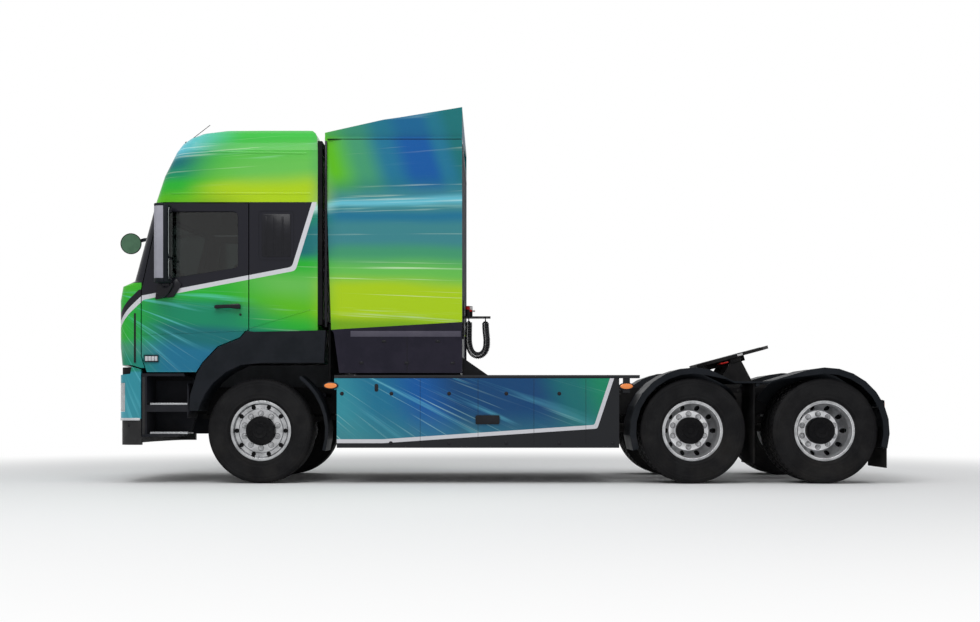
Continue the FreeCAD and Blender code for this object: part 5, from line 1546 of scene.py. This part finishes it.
# %% Flap ribs, and dark walls over the tyres as painted shade
mesh = bmesh.new()
for x_low, x_high in ((2.822, 2.836), (4.175, 4.185)):
    for y in (-1.200 + 0.056 * k for k in range(11)):
        block(mesh, (x_low, y - 0.008, 0.200), (x_high, y + 0.008, 0.560), 0.002)
twofold("flap_ribs", mesh, soft_rubber)

# The dark inner walls of the mudguards close the view over the tyres: painted shade.
guard_skin = skin_of("rear_fenders")
turns = [math.radians(angle) for angle in range(30, 153, 3)]
ways = [Vector((math.cos(turn), 0, math.sin(turn))) for turn in turns]
mesh = bmesh.new()
for axle in (MID_AXLE, REAR_AXLE):
    start = Vector((axle, -0.70, HUB))
    edge = [laid(guard_skin, start + way * 0.45, way, -0.014) - start for way in ways]
    outer = [start + way * min(arm.length, 0.66) for way, arm in zip(ways, edge)]
    inner = [start + way * 0.49 for way in reversed(ways)]
    pulled(mesh, [(spot.x, spot.z) for spot in outer + inner], -0.6020, -0.5950, 0.001)
twofold("mudguard_shade_walls", mesh, dark_plastic)

# %% Tail lamps
tail_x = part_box("lamps")[1].x
for name, finish, y_low, y_high in (
    ("tail_amber", amber, -0.925, -0.860), ("tail_red", red_lens, -0.852, -0.690),
    ("tail_pale", pale_lens, -0.682, -0.625), ("tail_fog", red_lens, -0.617, -0.565),
):
    mesh = bmesh.new()
    block(mesh, (tail_x - 0.010, y_low, 0.714), (tail_x, y_high, 0.836), 0.005)
    twofold(name, mesh, finish, replaced="lamps")
mesh = bmesh.new()
block(mesh, (tail_x - 0.042, -0.936, 0.694), (tail_x - 0.006, -0.554, 0.856), 0.006)
block(mesh, (tail_x - 0.150, -0.800, 0.730), (tail_x - 0.040, -0.690, 0.820), 0.010)
twofold("tail_lamp_boxes", mesh, dark_plastic, replaced="lamps")

# %% Rear crossbeam: blank plate, bolts and pin; bolts on the outside of the rails
FACING_REAR = Matrix.Rotation(math.radians(90), 4, "Z")

mesh = bmesh.new()
block(mesh, (back(6.440), -0.260, 0.705), (back(6.462), 0.260, 0.815))
new_piece("rear_plate_blank", mesh, blank_white)
mesh = bmesh.new()
for y in (-0.34, -0.12, 0.12, 0.34):
    join(mesh, hexagon(0.012, 0.0, 0.012), [at(back(6.462), y, 0.845, FACING_REAR)])
block(mesh, (back(6.400), -0.060, 0.620), (back(6.470), 0.060, 0.700), 0.008)
rod(mesh, (back(6.440), 0.0, 0.590), (back(6.440), 0.0, 0.720), 0.018, 20)
new_piece("tow_pin", mesh, cast_black)

mesh = bmesh.new()
join(mesh, hexagon(0.011, -0.012, 0.0), [
    at(back(group_x + dx), -0.430, z) for group_x in (2.45, 3.05, 3.70, 4.45, 5.10, 5.75, 6.30)
    for dx in (-0.06, 0.0, 0.06) for z in (0.925, 0.965)
])
twofold("frame_bolts", mesh, cast_black)
print("tail")

# %% [markdown]
# ## Coupling plate
# The plate that carries the trailer is a rough casting. Around its throat lie a wear
# ring, grease grooves and a hooked jaw. A pull handle sticks out on the driver's side.

# %% Tools: pieces are made level, counted from the plate's pin and top, and then tilted
plate_pivot = Vector((back(5.025), 0.0, 1.250))
PIN, TOP = plate_pivot.x, plate_pivot.z + 0.110


def plate_piece(name, mesh, finish, slot=None):
    """Tilts a level piece about the plate's pin by 15 degrees, as the plate rests."""
    lean_back = Matrix.Rotation(math.radians(-15), 4, "Y")
    turn = at(*plate_pivot, lean_back) @ Matrix.Translation(-plate_pivot)
    bmesh.ops.transform(mesh, matrix=turn, verts=mesh.verts[:])
    new_piece(name, mesh, finish, "coupling_plate", slot)


def flat_arc(mesh, centre_x, radius, wide, start, end, low, high):
    """A flat curved bar on the level plate; angles in degrees from the rear."""
    turns = [math.radians(start + (end - start) * k / 28) for k in range(29)]
    outline = [(centre_x + r * math.cos(turn), r * math.sin(turn)) for r, row in (
        (radius + wide / 2, turns), (radius - wide / 2, turns[::-1])) for turn in row]
    pulled(mesh, outline, TOP + low, TOP + high, 0.001, "Z")


# %% Wear ring, grooves, jaw and handle
mesh = bmesh.new()
flat_arc(mesh, PIN, 0.092, 0.034, 62, 298, -0.006, 0.0015)
for radius, start, end in ((0.19, 105, 255), (0.27, 112, 248), (0.345, 122, 238)):
    flat_arc(mesh, PIN, radius, 0.007, start, end, -0.004, 0.0015)
for y in (-0.3135, 0.3065):
    block(mesh, (PIN - 0.02, y, TOP - 0.004), (PIN + 0.22, y + 0.007, TOP + 0.0015), 0.001)
plate_piece("plate_wear_ring", mesh, worn_steel)

mesh = bmesh.new()
flat_arc(mesh, PIN - 0.004, 0.052, 0.030, 60, 300, -0.075, -0.038)
block(mesh, (PIN - 0.19, -0.300, TOP - 0.070), (PIN - 0.165, 0.120, TOP - 0.045), 0.006)
for side in (-1, 1):
    y = side * 0.400
    block(mesh, (PIN - 0.060, y - 0.030, TOP - 0.090), (PIN + 0.060, y + 0.030, TOP - 0.030), 0.012)
    join(mesh, hexagon(0.014, -0.012, 0.0), [at(PIN, side * 0.30, TOP - 0.036, ALONG_Z)])
plate_piece("plate_jaw", mesh, cast_black)

mesh = bmesh.new()
rod(mesh, (PIN - 0.178, -0.290, TOP - 0.058), (PIN - 0.150, -0.520, TOP - 0.062), 0.009, 12)
ring = [
    (0.030, -0.006), (0.036, -0.008), (0.042, -0.006), (0.044, 0.0), (0.042, 0.006),
    (0.036, 0.008), (0.030, 0.006), (0.028, 0.0),
]
join(mesh, spun(ring, 24, closed=True), [at(PIN - 0.146, -0.560, TOP - 0.062, ALONG_Z)])
plate_piece("plate_handle", mesh, red_paint)
mesh = bmesh.new()
block(mesh, (PIN + 0.03, -0.4505, TOP - 0.030), (PIN + 0.09, -0.448, TOP - 0.008), 0.001)
plate_piece("plate_blank_label", mesh, blank_white, "cast_metal")
print("coupling plate")

# %% [markdown]
# ## Air and electric lines
# Two curly hoses hang from the stand. Each one is a helix that winds round the same
# hanging route. The route itself is a smooth spline through a few points; the helix is
# made from points along it, so that the coils close up in the bend.

# %% The route of the curly hoses, from (place, height) behind the first coil
COIL_X, COIL_TOP, COIL_Y = back(2.131), 1.717, -0.880
ROUTE = [
    (0.0, COIL_TOP), (0.0, 1.600), (-0.004, 1.450), (0.030, 1.345), (0.110, 1.316),
    (0.180, 1.370), (0.192, 1.480), (0.175, 1.610), (0.175, COIL_TOP),
]


def smooth_curve(name, points, resolution):
    """A curve through a NURBS spline with these points."""
    data = bpy.data.curves.new(name, "CURVE")
    data.dimensions = "3D"
    data.resolution_u = resolution
    spline = data.splines.new("NURBS")
    spline.points.add(len(points) - 1)
    for point, place in zip(spline.points, points):
        point.co = (*place, 1.0)
    spline.order_u = 3
    spline.use_endpoint_u = True
    return linked(bpy.data.objects.new(name, data))


def points_along(name, points, resolution):
    """The points of such a curve's line, and their distances along it."""
    curve = smooth_curve(name, points, resolution)
    spots = [vert.co.copy() for vert in bpy.data.meshes.new_from_object(curve).vertices]
    bpy.data.objects.remove(curve)
    reach = [0.0]
    for first, second in zip(spots, spots[1:]):
        reach.append(reach[-1] + (second - first).length)
    return spots, reach


walk, lengths = points_along("hose_route", [(COIL_X + x, COIL_Y, z) for x, z in ROUTE], 24)
print("hose route", round(lengths[-1], 3), "m")

# %% Two helices on the route
COIL_RADIUS, HOSE, PITCH, PER_TURN = 0.0325, 0.011, 0.0262, 12


def on_route(distance):
    """Place and direction at a distance along the route."""
    distance = min(max(distance, 0.0), lengths[-1] - 1e-6)
    k = max(i for i in range(len(walk) - 1) if lengths[i] <= distance)
    part = (distance - lengths[k]) / max(lengths[k + 1] - lengths[k], 1e-9)
    return walk[k].lerp(walk[k + 1], part), (walk[k + 1] - walk[k]).normalized()


def helix(phase):
    """Points that wind round the route, and meet it at both ends."""
    wound = lengths[-1] - 0.06
    count = int(wound / PITCH * PER_TURN)
    points = [walk[0].copy()]
    for k in range(count + 1):
        spot, heading = on_route(0.03 + wound * k / count)
        side = Vector((0, 1, 0))
        out = heading.cross(side).normalized()
        angle = math.tau * k / PER_TURN + phase
        ease = min(1.0, k / 9, (count - k) / 9)
        points.append(spot + (side * math.cos(angle) + out * math.sin(angle)) * COIL_RADIUS * ease)
    return points + [walk[-1].copy()]


for name, phase, finish in (
    ("air_hose_dark", 0.0, hose_dark), ("air_hose_grey", math.pi, hose_grey),
):
    points = helix(phase)
    hose = smooth_curve(name, points, 2)
    hose.data.bevel_depth = HOSE / 2
    hose.data.bevel_resolution = 2
    hose.data.use_fill_caps = True
    hose.data.materials.append(finish)
    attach(hose, "chassis")
    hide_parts("air_coils")
    real = points_along(name + "_line", points, 2)[1][-1]
    print(name, "length", round(real, 2), "m")

# %% Coupling heads on the stand
HEAD = [
    (0.0, 0.0), (0.017, 0.0), (0.019, 0.003), (0.019, 0.020), (0.015, 0.024), (0.015, 0.052),
    (0.022, 0.056), (0.024, 0.062), (0.024, 0.084), (0.021, 0.090), (0.0, 0.092),
]
for name, x, y, finish in (
    ("red_head", back(2.119), -0.920, red_paint),
    ("white_head", back(2.149), -0.880, blank_white),
    ("yellow_head", back(2.119), -0.840, yellow_paint),
):
    mesh = bmesh.new()
    join(mesh, spun(HEAD, 28), [at(x, y, COIL_TOP + 0.030, ALONG_Z)])
    block(mesh, (x + 0.016, y - 0.010, 1.783), (x + 0.048, y + 0.010, 1.801), 0.004)
    new_piece(name, mesh, finish, slot="cast_metal")
print("hoses and heads")

# %% [markdown]
# ## Inside the cab
# Two seats, a bunk and a screen show through the dark glass. Cushions are swollen blocks:
# every point of a fine cube is drawn towards a rounder form, and seams are pressed in.

# %% Cushions
def lean(degrees):
    return Matrix.Rotation(math.radians(degrees), 4, "Y")


def cushion(name, low, high, power, crown, seams, tilt=0):
    """A padded piece between two corners, with seams across its width; tilt in degrees."""
    part = bmesh.new()
    bmesh.ops.create_cube(part, size=2.0)
    bmesh.ops.subdivide_edges(part, edges=part.edges[:], cuts=15, use_grid_fill=True)
    half = (Vector(high) - Vector(low)) / 2
    for vert in part.verts:
        u, v, w = vert.co
        swell = (abs(u) ** power + abs(v) ** power + abs(w) ** power) ** (-1 / power)
        press = sum(math.exp(-(((v - seam) / 0.05) ** 2)) for seam in seams)
        top = 1.0 + crown * (1 - u * u) * (1 - v * v) / half.z - 0.006 * press / half.z
        vert.co = Vector((u * half.x * swell, v * half.y * swell, w * half.z * swell * top))
    mesh = bmesh.new()
    join(mesh, part, [at(*((Vector(high) + Vector(low)) / 2), lean(tilt))])
    item = new_piece(name, mesh, seat_fabric, "cab", replaced="seats", sharp=60)


# %% Two seats and the bunk
SEAT = back(-0.640)
for side, y in (("left", -0.600), ("right", 0.600)):
    for label, x_low, x_high, half_y, z_low, z_high, seams, tilt in (
        ("cushion", -0.180, 0.260, 0.245, 1.640, 1.765, (-0.5, 0.5), 3),
        ("backrest", 0.250, 0.360, 0.240, 1.720, 2.300, (-0.5, 0.5), 8),
        ("headrest", 0.345, 0.425, 0.130, 2.320, 2.480, (), 8),
    ):
        low, high = (SEAT + x_low, y - half_y, z_low), (SEAT + x_high, y + half_y, z_high)
        cushion(f"seat_{label}_{side}", low, high, 6.0, 0.016, seams, tilt)
    mesh = bmesh.new()
    block(mesh, (SEAT - 0.090, y - 0.180, 1.302), (SEAT + 0.230, y + 0.180, 1.480), 0.02)
    block(mesh, (SEAT - 0.050, y - 0.150, 1.470), (SEAT + 0.200, y + 0.150, 1.650), 0.03)
    new_piece(f"seat_base_{side}", mesh, inner_plastic, "cab")
low, high = (back(-0.020), -1.150, 1.640), (back(0.530), 1.150, 1.815)
cushion("bunk_mattress", low, high, 8.0, 0.012, (-0.33, 0.33))
mesh = bmesh.new()
block(mesh, (back(-0.010), -1.150, 1.302), (back(0.530), 1.150, 1.640), 0.012)
for y in (-0.55, 0.0, 0.55):
    block(mesh, (back(-0.018), y - 0.22, 1.36), (back(0.0), y + 0.22, 1.60), 0.006)
new_piece("bunk_box", mesh, inner_plastic, "cab")

# %% Screens on the dashboard
mesh = bmesh.new()
block(mesh, (back(-0.790), -0.800, 1.930), (back(-0.765), -0.440, 2.080), 0.006, lean(-14))
block(mesh, (back(-0.780), -0.330, 1.930), (back(-0.755), 0.020, 2.110), 0.006, lean(-14))
new_piece("dash_screens", mesh, gloss_black, "cab", "inner_plastic")
print("inside of the cab")

# %% [markdown]
# ## The size of the dressed truck
# The dressed truck stays inside the construction model's box. The dressed truck's box is printed.

# %% Sizes and the end
low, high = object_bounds()
print("dressed", [round(v, 3) for v in (*low, *high)])
